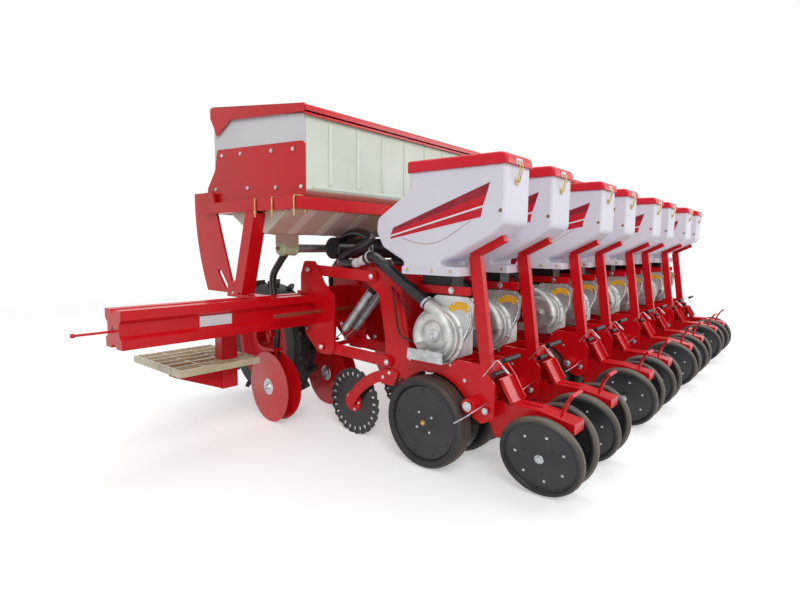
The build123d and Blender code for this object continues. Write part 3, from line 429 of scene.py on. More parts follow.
class Shape:
    """One piece being drawn: its mesh, where the next part goes and which finish it gets."""

    def __init__(self):
        self.mesh = bmesh.new()
        self.place = Matrix.Identity(4)
        self.finish = 0

    def loops(self, rings):
        """Skin rings of points, in order, and close the first and the last ring."""
        made = [[self.mesh.verts.new(self.place @ Vector(p)) for p in ring] for ring in rings]
        faces = []
        for low, high in zip(made, made[1:]):
            for k in range(len(low)):
                nxt = (k + 1) % len(low)
                faces.append(self.mesh.faces.new((low[k], low[nxt], high[nxt], high[k])))
        faces.append(self.mesh.faces.new(tuple(reversed(made[0]))))
        faces.append(self.mesh.faces.new(tuple(made[-1])))
        for face in faces:
            face.material_index = self.finish
            face.smooth = True
        return faces

    def prism(self, outline, low, high, bevel):
        """An outline in X and Y, given height along Z, with its sharp edges bevelled."""
        rings = [[(p[0], p[1], z) for p in outline] for z in (low, high)]
        following = outline[1:] + outline[:1]
        area = sum(a[0] * b[1] - b[0] * a[1] for a, b in zip(outline, following))
        if area < 0:
            rings = [list(reversed(ring)) for ring in rings]
        faces = self.loops(rings)
        if bevel:
            edges = {e for f in faces for e in f.edges if e.calc_face_angle(0.0) > 0.5}
            bmesh.ops.bevel(self.mesh, geom=list(edges), offset=bevel, segments=2,
                            profile=0.5, affect="EDGES", clamp_overlap=True, material=-1)

    def plate(self, outline, x0, x1, bevel):
        """An outline in Y and Z, given thickness across the machine."""
        kept, self.place = self.place, self.place @ ACROSS
        self.prism(outline, x0, x1, bevel)
        self.place = kept

    def block(self, low, high, bevel):
        """A box between two corners."""
        (x0, y0, z0), (x1, y1, z1) = low, high
        self.prism([(x0, y0), (x1, y0), (x1, y1), (x0, y1)], z0, z1, bevel)

    def turned(self, profile, count, wave=None):
        """A profile of (radius, height) turned about Z."""
        rings = []
        for radius, height in profile:
            ring = []
            for k in range(count):
                angle = 2 * math.pi * k / count
                dr, dz = wave(radius, angle) if wave else (0, 0)
                ring.append(((radius + dr) * math.cos(angle), (radius + dr) * math.sin(angle),
                             height + dz))
            rings.append(ring)
        return self.loops(rings)

    def tube(self, line, radius, sides, swell=None):
        """A round tube along a line; swell gives the radius as a share, from the length so far."""
        points = [Vector(p) for p in line]
        turn = (points[1] - points[0]).to_track_quat("Z", "Y")
        rings, before, length = [], (points[1] - points[0]).normalized(), 0.0
        for k, point in enumerate(points):
            after = (points[min(k + 1, len(points) - 1)] - points[max(k - 1, 0)]).normalized()
            turn = before.rotation_difference(after) @ turn
            before = after
            length += (point - points[k - 1]).length if k else 0.0
            size = radius * (swell(length) if swell else 1.0)
            rings.append([point + turn @ Vector((size * math.cos(a), size * math.sin(a), 0))
                          for a in (2 * math.pi * i / sides for i in range(sides))])
        self.loops(rings)

    def bolt(self, at, way, across, high, washer):
        """A hexagon head with its chamfer, on a washer."""
        kept, self.place = self.place, self.place @ along(at, way)
        size = across / math.sqrt(3)
        self.turned([(size * 1.25, 0), (size * 1.3, washer * 0.5), (size * 1.25, washer)], 20)
        self.turned([(size, washer), (size, high * 0.8), (size * 0.86, high)], 6)
        self.turned([(size * 0.80, high * 0.98), (size * 0.74, high * 1.02)], 12)
        self.place = kept

    def coil(self, start, end, radius, wire, pitch, steps=12, sides=5):
        """A helical spring between two points."""
        base, long = along(start, end - start), (end - start).length
        turns = long / pitch
        count = round(turns * steps)
        helix = []
        for k in range(count + 1):
            angle = 2 * math.pi * turns * k / count
            helix.append(base @ Vector((radius * math.cos(angle), radius * math.sin(angle),
                                        long * k / count)))
        self.tube(helix, wire, sides)

    def done(self, name, *finishes, sharp=32):
        """The finished mesh, in metres."""
        bmesh.ops.recalc_face_normals(self.mesh, faces=self.mesh.faces)
        bmesh.ops.scale(self.mesh, vec=(MM, MM, MM), verts=self.mesh.verts)
        mesh = bpy.data.meshes.new(name)
        self.mesh.to_mesh(mesh)
        self.mesh.free()
        for finish in finishes:
            mesh.materials.append(finish)
        mesh.set_sharp_from_angle(angle=math.radians(sharp))
        return mesh


# %% Put a mesh in the scene


def piece(name, mesh, body, nodes=(), place=None):
    """An object on its body, in place of the model's plain nodes where they are named."""
    made = bpy.data.objects.new(name, mesh)
    made.matrix_world = Matrix.Translation(BAR_AT) if place is None else place
    scene.collection.objects.link(made)
    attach(made, body)
    if nodes:
        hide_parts(*nodes)
    print(name, "faces", len(mesh.polygons))


print("toolbar's centre line at y = %.4f m" % BAR_AT.y)

# %% [markdown]
# ## Finishes on the model's own pieces
# The heavy steelwork, the hoppers and the tank are modelled finely enough to be shown as they are,
# so they only get their finish. The step's tread is pale grating on a red post: the finish changes
# with height, and two sine waves paint its rows of holes dark, which is painted shade where one
# would see through them. The drive wheels change from rim to rubber with the distance from their
# axle. Splitting the meshes would do it too, but a model's own mesh stays as it is. The drive
# wheels' rubber is painted darker in the grooves of its ribs and lighter on their crests: painted
# shade that follows the ribs' bump.

# %% Finishes of the steps and the drive wheels
TREAD_LOW, TREAD_HIGH = 0.353, 0.387
HOLE_PITCH = (("X", 0.030), ("Y", 0.052))
DRIVE_RIM = 0.23


def stepped():
    """A red post with a pale perforated tread between two heights; the holes are painted dark as
    painted shade.
    """
    finish = Finish("step_paint", 0.36, coat=0.2)
    high = finish.axis("Z")
    tread = finish.maths("MULTIPLY", finish.maths("GREATER_THAN", high, TREAD_LOW),
                         finish.maths("LESS_THAN", high, TREAD_HIGH))
    waves = [finish.maths("SINE", finish.maths("MULTIPLY", finish.axis(name), 2 * math.pi / pitch))
             for name, pitch in HOLE_PITCH]
    # Mask of the holes, where the grating is painted dark as painted shade.
    hole_shade = finish.maths("MULTIPLY", *[finish.maths("GREATER_THAN", w, -0.1) for w in waves])
    facing = finish.maths("GREATER_THAN", finish.upward(), 0.6)
    hole_shade = finish.maths("MULTIPLY", hole_shade, facing)
    grating = finish.ramp(finish.noise(9, 4), (0.3, linear(188, 178, 140)),
                          (0.7, linear(214, 206, 176)))
    # The holes are painted dark brown-grey: painted shade where one would see through the grating.
    holes = finish.mix(hole_shade, grating, linear(92, 84, 72))
    red = finish.ramp(finish.noise(2.3, 5), (0.3, linear(200, 10, 24)), (0.7, linear(220, 16, 36)))
    finish.colour(finish.mix(tread, red, holes))
    finish.relief(finish.noise(300, 2), 0.1, 0.0006, edge=0.002)
    return finish.material


def drive_finish(joint):
    """A red rim inside a black ribbed tyre, by the distance from the axle."""
    at = Vector(joint["pos_m"])
    finish = Finish("drive_tyre_rib_shade", 0.6)
    parts = [finish.maths("SUBTRACT", finish.axis(n), v) for n, v in (("Y", at.y), ("Z", at.z))]
    squares = [finish.maths("MULTIPLY", p, p) for p in parts]
    reach = finish.maths("SQRT", finish.maths("ADD", *squares))
    ribs = finish.node("ShaderNodeTexWave", Vector=finish.coordinates, Scale=9.0,
                       Distortion=1.2).outputs["Fac"]
    # The rubber is darker in the grooves and lighter on the crests of the ribs: painted shade
    # following the bump.
    rubber = finish.ramp(ribs, (0.2, linear(20, 20, 22)), (0.8, linear(48, 46, 44)))
    rim = finish.ramp(finish.noise(9, 5), (0.3, linear(196, 12, 26)), (0.7, linear(216, 22, 38)))
    finish.colour(finish.mix(finish.maths("GREATER_THAN", reach, DRIVE_RIM), rim, rubber))
    finish.relief(ribs, 0.35, 0.004, edge=0.002)
    return finish.material


# %% A finish for every node
DRIVE = drive_finish(JOINTS["drive_wheel_l_turn"])
FINISH_OF = {
    "seed_hoppers": HOPPER_WHITE, "fertiliser_tank": TANK_WHITE_LOAD_SHADE, "tank_lid": LID_RED,
    "seed_meters": CAST, "springs": GALVANISED, "fertiliser_metering": PALE_GREEN,
    "opener_discs": DISC_RED, "air_lines": HOSE_BLACK, "steps": stepped(),
    "drive_wheel_l": DRIVE, "drive_wheel_r": DRIVE,
}
FINISH_OF.update(dict.fromkeys(("toolbar", "row_brackets", "parallel_links", "row_frames",
                                "press_arms", "fertiliser_shanks", "tank_frame", "hitch", "fan"),
                               RED))
for name, node in nodes.items():
    finish = FINISH_OF.get(name, LID_RED if name.startswith("hopper_lid") else FACE_BLACK)
    node.data.materials.clear()
    node.data.materials.append(finish)
print("nodes with a finish", len(nodes))

# %% [markdown]
# ## Gauge wheels
# Two wheels carry each row beside its opener. Each is a pressed steel dish, painted black, inside
# a smooth rubber tyre with a rounded tread. Dish and tyre are one turned profile, with the finish
# changed at the rim; small turned dimples stand for the nine holes, which would need many faces
# if they were cut, and they are painted near-black as painted shade where one would see through
# the holes. All sixteen wheels share one mesh.

# %% Wheels from one profile
WHEEL_SIDES = 72


def wheel_place(joint, side, offset):
    """A place on a joint's axis, so many millimetres out of the row; its Z points out too."""
    axis = Vector(JOINTS[joint]["axis"])
    out = axis if axis.x * side > 0 else -axis
    return along(Vector(JOINTS[joint]["pos_m"]) + out * offset * MM, out)


def wheel_mesh(name, profile, rim, dimples, bolts, hub, hub_finish, tread):
    """A wheel; dimples and bolts are (count, reach, height), the hub (height, across, high)."""
    shape = Shape()
    for face in shape.turned(profile, WHEEL_SIDES):
        middle = face.calc_center_median()
        face.material_index = 1 if math.hypot(middle.x, middle.y) > rim else 0
    # The dimples are painted near-black: painted shade where one would see through the wheel's
    # holes.
    shape.finish = 2
    for spot in ring_of(*dimples, shift=0.3):
        shape.place = Matrix.Translation(spot)
        shape.turned([(6.5, -0.4), (6.2, 0.7), (4.0, 0.9)], 14)
    shape.finish, shape.place = 3, Matrix.Identity(4)
    for spot in ring_of(*bolts, shift=0.4):
        shape.bolt(spot, (0, 0, 1), 7.5, 3.5, 0.6)
    height, across, high = hub
    shape.finish = 0
    shape.turned([(1, height + 4), (14, height + 4), (19, height + 1), (22, height - 3)], 24)
    shape.finish = 4
    shape.bolt((0, 0, height + 4), (0, 0, 1), across, high, 2.5)
    return shape.done(name, FACE_BLACK, tread, SHADOW, ZINC, hub_finish)


# %% Gauge wheels
GAUGE_OUT = 122.5
GAUGE_PROFILE = [
    (5, 31), (36, 31), (41, 27), (98, 25.5), (138, 29), (153, 31), (156.5, 28), (158, 31),
    (160, 42), (163, 45.5), (167, 47.5), (175, 47.2), (184, 44.5), (190.5, 38), (194, 29),
    (195, 18), (195, -18), (194, -29), (190.5, -38), (183, -44.5), (172, -47.5), (160, -44),
    (156, -33), (60, -31), (42, -29), (5, -29),
]
gauge_mesh = wheel_mesh("gauge_wheel", GAUGE_PROFILE, rim=158.5, dimples=(9, 139, 29),
                        bolts=(4, 47, 26.5), hub=(31, 15, 7), hub_finish=YELLOW_ZINC,
                        tread=GAUGE_TYRE)
for n in range(1, 9):
    body = "gauge_wheels_%d" % n
    for side, tag in ((-1, "l"), (1, "r")):
        piece(body + tag, gauge_mesh, body, [body],
              wheel_place(body + "_turn", side, GAUGE_OUT))

# %% [markdown]
# ## Press wheels
# Behind each row two narrow wheels lean towards each other and close the furrow. Their faces are
# flat black discs with seven small bolts; the rubber band round them is greyed by dust. The lean
# could be typed in as an angle, but the model's own joint axis gives it, so the wheel turns true.

# %% Press wheels
PRESS_PROFILE = [
    (5, 15.5), (26, 15.5), (30, 14), (38, 13.2), (128, 13.8), (134, 12.5), (137, 14),
    (138.5, 20), (141, 23.5), (146, 25), (151, 23.8), (156, 19), (160, 11), (162, 3), (162, -3),
    (160, -11), (156, -19), (150, -24.5), (141, -24), (137, -16), (30, -16), (5, -16),
]
press_mesh = wheel_mesh("press_wheel", PRESS_PROFILE, rim=138, dimples=(3, 62, 13.0),
                        bolts=(7, 96, 13.2), hub=(15.5, 24, 11), hub_finish=ZINC,
                        tread=PRESS_TYRE)
for n in range(1, 9):
    for side, tag in ((-1, "l"), (1, "r")):
        body = "press_wheel_%d%s" % (n, tag)
        piece(body + "_shell", press_mesh, body, [body],
              wheel_place(body + "_turn", side, 0))

# %% [markdown]
# ## Coulters
# A thin wavy disc cuts the trash ahead of each row. Its rim is rippled and notched, painted black,
# and the ripples are already worn bright. The ripple is a sine round the turned disc that grows
# towards the rim; a displacement texture would give the same, but the notches need real faces.

# %% Coulters
RIPPLES, RIPPLE_FROM, RIPPLE_GROWS, RIPPLE_HIGH = 24, 104, 62, 3.2
NOTCH_FROM, NOTCH_DEEP = 164, 7.5
WORN_FROM, WORN_TO = 128, 144
COULTER_PROFILE = [
    (46, 2), (104, 2), (118, 1.8), (128, 1.6), (144, 1.4), (156, 1.1), (166, 0.3), (166, -0.3),
    (156, -1.1), (144, -1.4), (128, -1.6), (118, -1.8), (104, -2), (46, -2),
]


def ripple(radius, angle):
    """Outward and sideways shift of the coulter's rim."""
    grow = max(0.0, (radius - RIPPLE_FROM) / RIPPLE_GROWS)
    notch = -NOTCH_DEEP * max(0.0, math.cos(RIPPLES * angle)) ** 3 if radius > NOTCH_FROM else 0.0
    return notch, RIPPLE_HIGH * grow * math.sin(RIPPLES * angle)


shape = Shape()
for face in shape.turned(COULTER_PROFILE, RIPPLES * 8, ripple):
    middle = face.calc_center_median()
    reach, angle = math.hypot(middle.x, middle.y), math.atan2(middle.y, middle.x)
    if WORN_FROM < reach < WORN_TO and math.sin(RIPPLES * angle) > 0.75:
        face.material_index = 1
shape.finish = 2
shape.turned([(13, 14), (22, 14), (27, 12), (48, 11), (52, 8), (53, -3), (13, -3)], 40)
shape.finish = 1
for spot in ring_of(5, 39, 11.2):
    shape.bolt(spot, (0, 0, 1), 9, 4.5, 0.8)
coulter_mesh = shape.done("coulter", FACE_BLACK, ZINC, RED)
for n in range(1, 9):
    body = "coulter_%d" % n
    piece(body + "_disc", coulter_mesh, body, [body],
          wheel_place(body + "_turn", -1, 0))

# %% [markdown]
# ## Opener discs
# Ahead of the toolbar, pairs of large red discs cut the slot for fertiliser; between the gauge
# wheels, pairs of bright steel discs cut the one for seed. Both kinds are slightly coned, ground
# thin at the rim and run on bearing hubs. Two separate builders would repeat each other, so one
# function draws both from a short table.

# %% Opener discs
DISC_TILT = math.radians(4.5)
FERTILISER_SIDE = -220
DISC_KINDS = (
    # name, shift from the row, Y, Z, radius, thickness, half gap, finish, slot
    ("fertiliser_discs", FERTILISER_SIDE, 140, 185, 185, 2.5, 12, DISC_RED, "disc_steel"),
    ("seed_discs", 0, -790, 188, 180, 2.0, 9, DISC_STEEL, "zinc_steel"),
)


def one_disc(shape, radius, thick):
    """A coned disc with its stepped hub and nut, about Z."""
    shape.finish = 0
    shape.turned([(24, thick), (70, thick), (76, thick * 0.6), (radius - 22, thick * 0.5),
                  (radius, 0.2), (radius, -0.2), (radius - 22, -thick * 0.5),
                  (24, -thick * 0.5)], 64)
    shape.finish = 1
    shape.turned([(8, 14), (15, 14), (17, 10), (25, 10), (27, 5.5), (31, 4.2), (34, 6.2),
                  (40, 5.6), (43, thick), (43, 0), (30, -7), (8, -7)], 40)
    shape.finish = 2
    shape.bolt((0, 0, 12), (0, 0, 1), 19, 9, 2)


for name, shift, y, z, radius, thick, gap, finish, slot in DISC_KINDS:
    shape = Shape()
    for x in ROWS:
        for side in (-1, 1):
            out = Vector((side * math.cos(DISC_TILT), math.sin(DISC_TILT), 0))
            lean = gap + radius * math.sin(DISC_TILT)
            shape.place = along((x + shift + side * lean, y, z), out)
            one_disc(shape, radius, thick)
    piece(name, shape.done(name, finish, ZINC, GALVANISED), "frame", ["opener_discs"])

# %% [markdown]
# ## Seed meters
# The cast suction meter is the finest part of a row: a round housing whose raised volute grows
# towards the spout, a hub with its nut, a cover with a bolted rim, and a three-cornered plate with
# a yellow scale. The volute could be sculpted; a tube along a circle with a growing radius, half
# sunk in the face, comes close with few faces. A galvanised tray guards the chain below.

# %% Measures of a seed meter
METER_Y, METER_Z = -851, 566
METER_BODY = [
    (6, 147), (24, 147), (26, 145), (27, 141.5), (52, 141.5), (60, 140), (100, 138), (106, 140),
    (110, 137), (112, 131), (112, 117), (118, 114), (122, 110), (122, 98), (6, 98),
]
METER_HUB = [(8, 147), (13, 150), (18, 150), (21, 147)]
VOLUTE_R, VOLUTE_LEVEL, VOLUTE_THICK, VOLUTE_GROWS = 79, 140, 25, 400
SPOUT = [(-130, -812, 690), (-131, -855, 668), (-134, -893, 634), (-138, -918, 594),
         (-140, -926, 556)]
SCALE_PLATE = soft([(-761, 586, 12), (-790, 700, 24), (-836, 732, 14), (-988, 732, 16),
                    (-1016, 708, 10), (-1008, 612, 20), (-957, 530, 20), (-911, 506, 10)])
SCALE_SCREWS = ((-800, 618), (-812, 690), (-850, 722), (-982, 722), (-1004, 704), (-996, 622),
                (-880, 716), (-922, 700))
CHAIN = [(-108, -990, 690), (-109, -1004, 668), (-109, -1000, 625), (-109, -972, 560)]


def band(y, z, inner, outer, first, last, count=14):
    """A flat curved band about a point, between two angles in degrees."""
    angles = [math.radians(first + (last - first) * k / count) for k in range(count + 1)]
    far = [(y + outer * math.cos(a), z + outer * math.sin(a)) for a in angles]
    return far + [(y + inner * math.cos(a), z + inner * math.sin(a)) for a in reversed(angles)]


print("scale plate points", len(SCALE_PLATE), "screws", len(SCALE_SCREWS))

# %% Seed meters
CASTING, SCREWS, SCALE, TRAY, NECK = range(5)
volute = [(VOLUTE_R * math.cos(a), VOLUTE_R * math.sin(a), VOLUTE_LEVEL)
          for a in (math.radians(k * 6 - 118) for k in range(0, 55))]
shape = Shape()
for x in ROWS:
    shape.finish, shape.place = CASTING, shift_to(x) @ along((0, METER_Y, METER_Z), (-1, 0, 0))
    shape.turned(METER_BODY, 72)
    shape.turned(METER_HUB, 32)
    shape.tube(volute, VOLUTE_THICK, 18, lambda run: 0.52 + 0.48 * min(1.0, run / VOLUTE_GROWS))
    shape.finish = SCREWS
    for spot in ring_of(8, 116, 112, shift=0.5):
        shape.bolt(spot, (0, 0, 1), 10, 6, 1)
    shape.place = shift_to(x)
    shape.bolt((-149, METER_Y, METER_Z), (-1, 0, 0), 20, 12, 2)
    shape.finish = CASTING
    shape.tube(curve(SPOUT, 8), 26, 18)
    shape.plate(SCALE_PLATE, -105.5, -97, 0.8)
    shape.block((-97, METER_Y - 80, 476), (30, METER_Y + 80, 714), 4)
    shape.finish = NECK
    shape.block((-78, -890, 713), (10, -740, 815.6), 3)
    shape.finish = SCALE
    shape.plate(band(-950, 640, 42, 72, 40, 140), -106.8, -105.2, 0.2)
    shape.finish = SCREWS
    for y, z in SCALE_SCREWS:
        shape.bolt((-105.5, y, z), (-1, 0, 0), 8, 4, 0.8)
    shape.tube(curve(CHAIN, 3), 3.6, 8, lambda run: 1.0 + 0.4 * math.cos(run * 0.75))
    shape.finish = TRAY
    shape.plate([(-923, 463), (-740, 463), (-740, 466), (-923, 466)], -175, -95.6, 0.4)
    shape.plate([(-923, 463), (-740, 463), (-744, 509), (-920, 509)], -178, -175, 0.6)
piece("seed_meters_cast", shape.done("seed_meters_cast", CAST, ZINC, SCALE_YELLOW, GALVANISED,
                                     BLACK_PLASTIC), "frame", ["seed_meters"])

# %% [markdown]
# ## Air lines
# One black suction pipe runs along the machine. At each row a smooth hose leaves it, loops back
# towards it and ends in a pale fitting, from which a second hose, finely ribbed so that it bends
# as the row rises, drops to the meter. A curve with a bevel would give plain tubes; here each is a
# tube along a smooth line whose radius follows the length, so the ribs are real.

# %% Measures of the air lines
PIPE_Y, PIPE_Z, PIPE_R = -115, 915, 55
PIPE_LEFT, PIPE_RIGHT = ROWS[0] - 30, ROWS[-1] + 90
CLIPS = (-1500, -500, 500, 1500)
LOOP = [(40, -128, 962), (22, -190, 986), (-12, -300, 992), (-40, -400, 962), (-50, -339, 922),
        (-52, -262, 890), (-60, -226, 864), (-72, -240, 846), (-88, -300, 843), (-100, -352, 846)]
FITTING = [(-94, -330, 844), (-104, -372, 850), (-116, -425, 864), (-124, -462, 876)]
HOSE = [(-122, -450, 872), (-130, -497, 881), (-130, -546, 857), (-130, -633, 802),
        (-130, -763, 722), (-130, -818, 686)]
RIB_PITCH, RIB_DEPTH, RIBS_FROM, RIBS_GROW = 9.0, 0.13, 120, 60


def ribs(run):
    """The hose's radius: smooth at first, ribbed after."""
    grow = min(1.0, max(0.0, (run - RIBS_FROM) / RIBS_GROW))
    return 1.0 - grow * RIB_DEPTH * (0.5 - 0.5 * math.cos(2 * math.pi * run / RIB_PITCH))


def collars(run):
    """The fitting's radius: a raised collar near each end."""
    return 1.0 + (0.16 if 30 < run < 52 or 84 < run < 104 else 0.0)


for name, points in (("hose", HOSE), ("loop", LOOP)):
    line = curve(points)
    print(name, "%.0f mm long" % sum((b - a).length for a, b in zip(line, line[1:])))

# %% Air lines
RUBBER, CLIP, CLAMP, FITTED = range(4)
shape = Shape()
shape.place = along((PIPE_LEFT, PIPE_Y, PIPE_Z), (1, 0, 0))
length = PIPE_RIGHT - PIPE_LEFT
shape.turned([(50, 0), (PIPE_R, 4), (PIPE_R, length - 4), (50, length)], 32)
for x in CLIPS:
    shape.finish = CLAMP
    for dx in (-14, 14):
        shape.place = along((x + dx - 7, PIPE_Y, PIPE_Z), (1, 0, 0))
        shape.turned([(54.5, 0), (57.5, 1), (57.5, 13), (54.5, 14)], 32)
    shape.place = Matrix.Identity(4)
    shape.finish = CLIP
    shape.block((x - 25, -75, 678.4), (x + 25, -61, 905), 2)
shape.finish, shape.place = RUBBER, Matrix.Identity(4)
shape.tube(curve([(-60, -115, 866), (-60, 0, 866), (-60, 119, 866)], 3), 40, 24,
           lambda run: 1.0 - 0.05 * (0.5 - 0.5 * math.cos(run * 0.55)))
for x in ROWS:
    shape.place = shift_to(x)
    line = curve(HOSE, 2.25)
    shape.finish = RUBBER
    shape.tube(line, 25, 14, ribs)
    shape.finish = CLAMP
    for k in (12, -12):
        shape.place = shift_to(x) @ along(line[k], line[k] - line[k - 2])
        shape.turned([(25, -6), (28, -5), (28, 5), (25, 6)], 20)
        shape.bolt((0, 27, 0), (1, 0, 0), 8, 9, 0.8)
    shape.place = shift_to(x)
    shape.finish = RUBBER
    shape.tube(curve(LOOP, 6), 22, 14)
    shape.finish = FITTED
    shape.tube(curve(FITTING, 5), 19, 14, collars)
piece("air_lines_hoses", shape.done("air_lines_hoses", HOSE_BLACK, RED, GALVANISED, PANEL_WHITE),
      "frame", ["air_lines"])

# %% [markdown]
# ## Springs
# Two galvanised springs on each row pull it into the ground. They are close-wound, with a hook at
# each end, and a black clip sits at their head. A screw modifier could wind them; one tube along a
# helix does it in the same tools as the rest.

# %% Springs
FOOT, HEAD = Vector((0, -138, 420)), Vector((0, -472, 790))
SPRING_SIDE, COIL_R, WIRE_R, COIL_PITCH = 38, 19.0, 3.0, 6.6
FOOT_HOOK, HEAD_HOOK = 118, 96
way = (HEAD - FOOT).normalized()
across = Vector((0, way.z, -way.y))
shape = Shape()
for x in ROWS:
    for dx in (-SPRING_SIDE, SPRING_SIDE):
        low, high = FOOT + Vector((x + dx, 0, 0)), HEAD + Vector((x + dx, 0, 0))
        shape.finish, shape.place = 0, Matrix.Identity(4)
        shape.coil(low + way * FOOT_HOOK, high - way * HEAD_HOOK, COIL_R, WIRE_R, COIL_PITCH)
        for end, sign, reach in ((low, 1, FOOT_HOOK), (high, -1, HEAD_HOOK)):
            hook = [end + way * sign * (reach + 4) + across * 14, end + way * sign * (reach - 18),
                    end + way * sign * 22 + across * 15, end - way * sign * 14,
                    end + way * sign * 8 - across * 15]
            shape.tube(curve(hook, 6), WIRE_R, 6)
        shape.finish = 1
        shape.place = along(high - way * 104, way)
        shape.turned([(18, 0), (23, 2), (23, 16), (20, 20), (12, 24)], 20)
piece("spring_coils", shape.done("spring_coils", GALVANISED, BLACK_PLASTIC), "frame",
      ["springs"])

# %% [markdown]
# ## Tank lid
# The long lid is folded red sheet with a lip at the rear and a skirt with a hanging tail at each
# end. It could be bent from one plane with a solidify modifier; plates with bevelled edges show
# the same folds. It turns with its hinge, so the skirts are part of the same piece.

# %% Tank lid
TANK_HALF, TANK_REAR, TANK_FRONT = 2090, -355, 365
SIDE_Z, TOP_REAR, TOP_FRONT = 1165, 1478, 1572
SLOPE = (TOP_FRONT - TOP_REAR) / (TANK_FRONT - TANK_REAR)


def rim_z(y):
    """Height of the tank's rim at a place along its slope."""
    return TOP_REAR + (y - TANK_REAR) * SLOPE


shape = Shape()
rear, front, end = TANK_REAR - 13, TANK_FRONT + 6, TANK_HALF + 16
low, high = rim_z(rear), rim_z(front)
shape.plate(soft([(rear, low + 1, 0), (front, high + 1, 0), (front, high + 34, 12),
                  (rear, low + 34, 12)]), -end, end, 2)
shape.plate([(rear, low - 9), (rear, low + 8), (rear + 5, low + 8), (rear + 5, low - 9)],
            -end, end, 1)
skirt = soft([(rear, low + 1, 3), (rear, low + 29, 4), (front, high + 31, 10),
              (front - 1, high - 18, 12), (front - 36, high - 72, 8), (front - 52, high - 106, 8),
              (front - 66, high - 108, 6), (front - 184, high - 49, 16)])
top_strip = soft([(rear + 8, low + 33, 3), (front - 8, high + 33, 3), (front - 8, high + 38, 3),
                  (rear + 8, low + 38, 3)])
for side in (-1, 1):
    ends = sorted((side * (TANK_HALF + 13), side * (TANK_HALF + 17)))
    shape.plate(skirt, *ends, 1)
    shape.plate(top_strip, ends[0] - side * 6, ends[1] - side * 6, 1)
piece("tank_lid_sheet", shape.done("tank_lid_sheet", RED), "tank_lid", ["tank_lid"])

# %% [markdown]
# ## Tank panels and ribs
# White panels close the tank's ends above the red plates. Shallow ribs stiffen the translucent
# walls and the shaded floor, which looks brown because the tank's old load shows through it. The
# floor's ribs get a paler copy of that brown, a painted highlight where they catch the light.
# A bump map would show ribs from far off only; these are thin real plates laid on the tank.

# %% Tank panels and ribs
RIBS_ALONG, RIB_STEP = 24, 170
FLOOR_Z, FLOOR_HALF = 985, 70
END_WHITE, WALL, FLOOR_BROWN, FLOOR_RIB_HIGHLIGHT = range(4)

shape = Shape()
shape.finish = END_WHITE
panel = soft([(TANK_REAR + 3, SIDE_Z + 190, 4), (TANK_REAR + 3, rim_z(TANK_REAR) - 4, 6),
              (TANK_FRONT - 3, rim_z(TANK_FRONT) - 4, 6), (TANK_FRONT - 30, SIDE_Z + 225, 8)])
for side in (-1, 1):
    shape.plate(panel, *sorted((side * (TANK_HALF + 0.4), side * (TANK_HALF + 5))), 1.5)
for k in range(RIBS_ALONG):
    x = (k - (RIBS_ALONG - 1) / 2) * RIB_STEP
    for side, edge in ((-1, TANK_REAR), (1, TANK_FRONT)):
        # The floor ribs get the paler brown: a painted highlight on them.
        shape.finish = FLOOR_RIB_HIGHLIGHT
        start, stop = side * (FLOOR_HALF + 8), edge - side * 68
        rise = (SIDE_Z - FLOOR_Z) / (abs(edge) - FLOOR_HALF)
        z0, z1 = (FLOOR_Z + (abs(y) - FLOOR_HALF) * rise for y in (start, stop))
        rib = [(start, z0 + 1), (stop, z1 + 1), (stop, z1 - 9), (start, z0 - 9)]
        shape.plate(rib if side > 0 else list(reversed(rib)), x - 24, x + 24, 4)
        shape.finish = WALL
        face = sorted((edge + side * 0.2, edge + side * 4))
        shape.block((x - 9, face[0], SIDE_Z + 26), (x + 9, face[1], rim_z(edge) - 26), 2)
shape.finish = WALL
for x0, x1 in ((-TANK_HALF + 30, -712), (-688, 688), (712, TANK_HALF - 30)):
    shape.block((x0, TANK_REAR - 3.4, SIDE_Z + 6), (x1, TANK_REAR - 0.3, SIDE_Z + 16), 1)
shape.finish = FLOOR_BROWN
for side, edge in ((-1, TANK_REAR), (1, TANK_FRONT)):
    rise = (SIDE_Z - FLOOR_Z) / (abs(edge) - FLOOR_HALF)
    start, stop = side * (FLOOR_HALF + 1), edge - side * 3
    slab = [(start, FLOOR_Z - 0.4), (stop, SIDE_Z - 3 * rise - 0.4),
            (stop, SIDE_Z - 3 * rise - 3), (start, FLOOR_Z - 3)]
    shape.plate(slab, -TANK_HALF + 4, TANK_HALF - 4, 0.4)
piece("tank_panels", shape.done("tank_panels", PANEL_WHITE, TANK_WHITE_LOAD_SHADE, TANK_FLOOR, TANK_RIB_HIGHLIGHT),
      "frame")

# %% [markdown]
# ## Hopper trim
# Each hopper carries slanting stripes on its left side, a moulded foot with its bolts, a wire
# latch that holds the lid, a small plug and a moulded line that curves below; that line is a thin
# brown tube, painted shade of the crease in the moulding. The stripes could be painted by the
# hopper's material, but then they would blur at the edge; they are thin film on the shell, plain
# on purpose: no name or sign is on them.

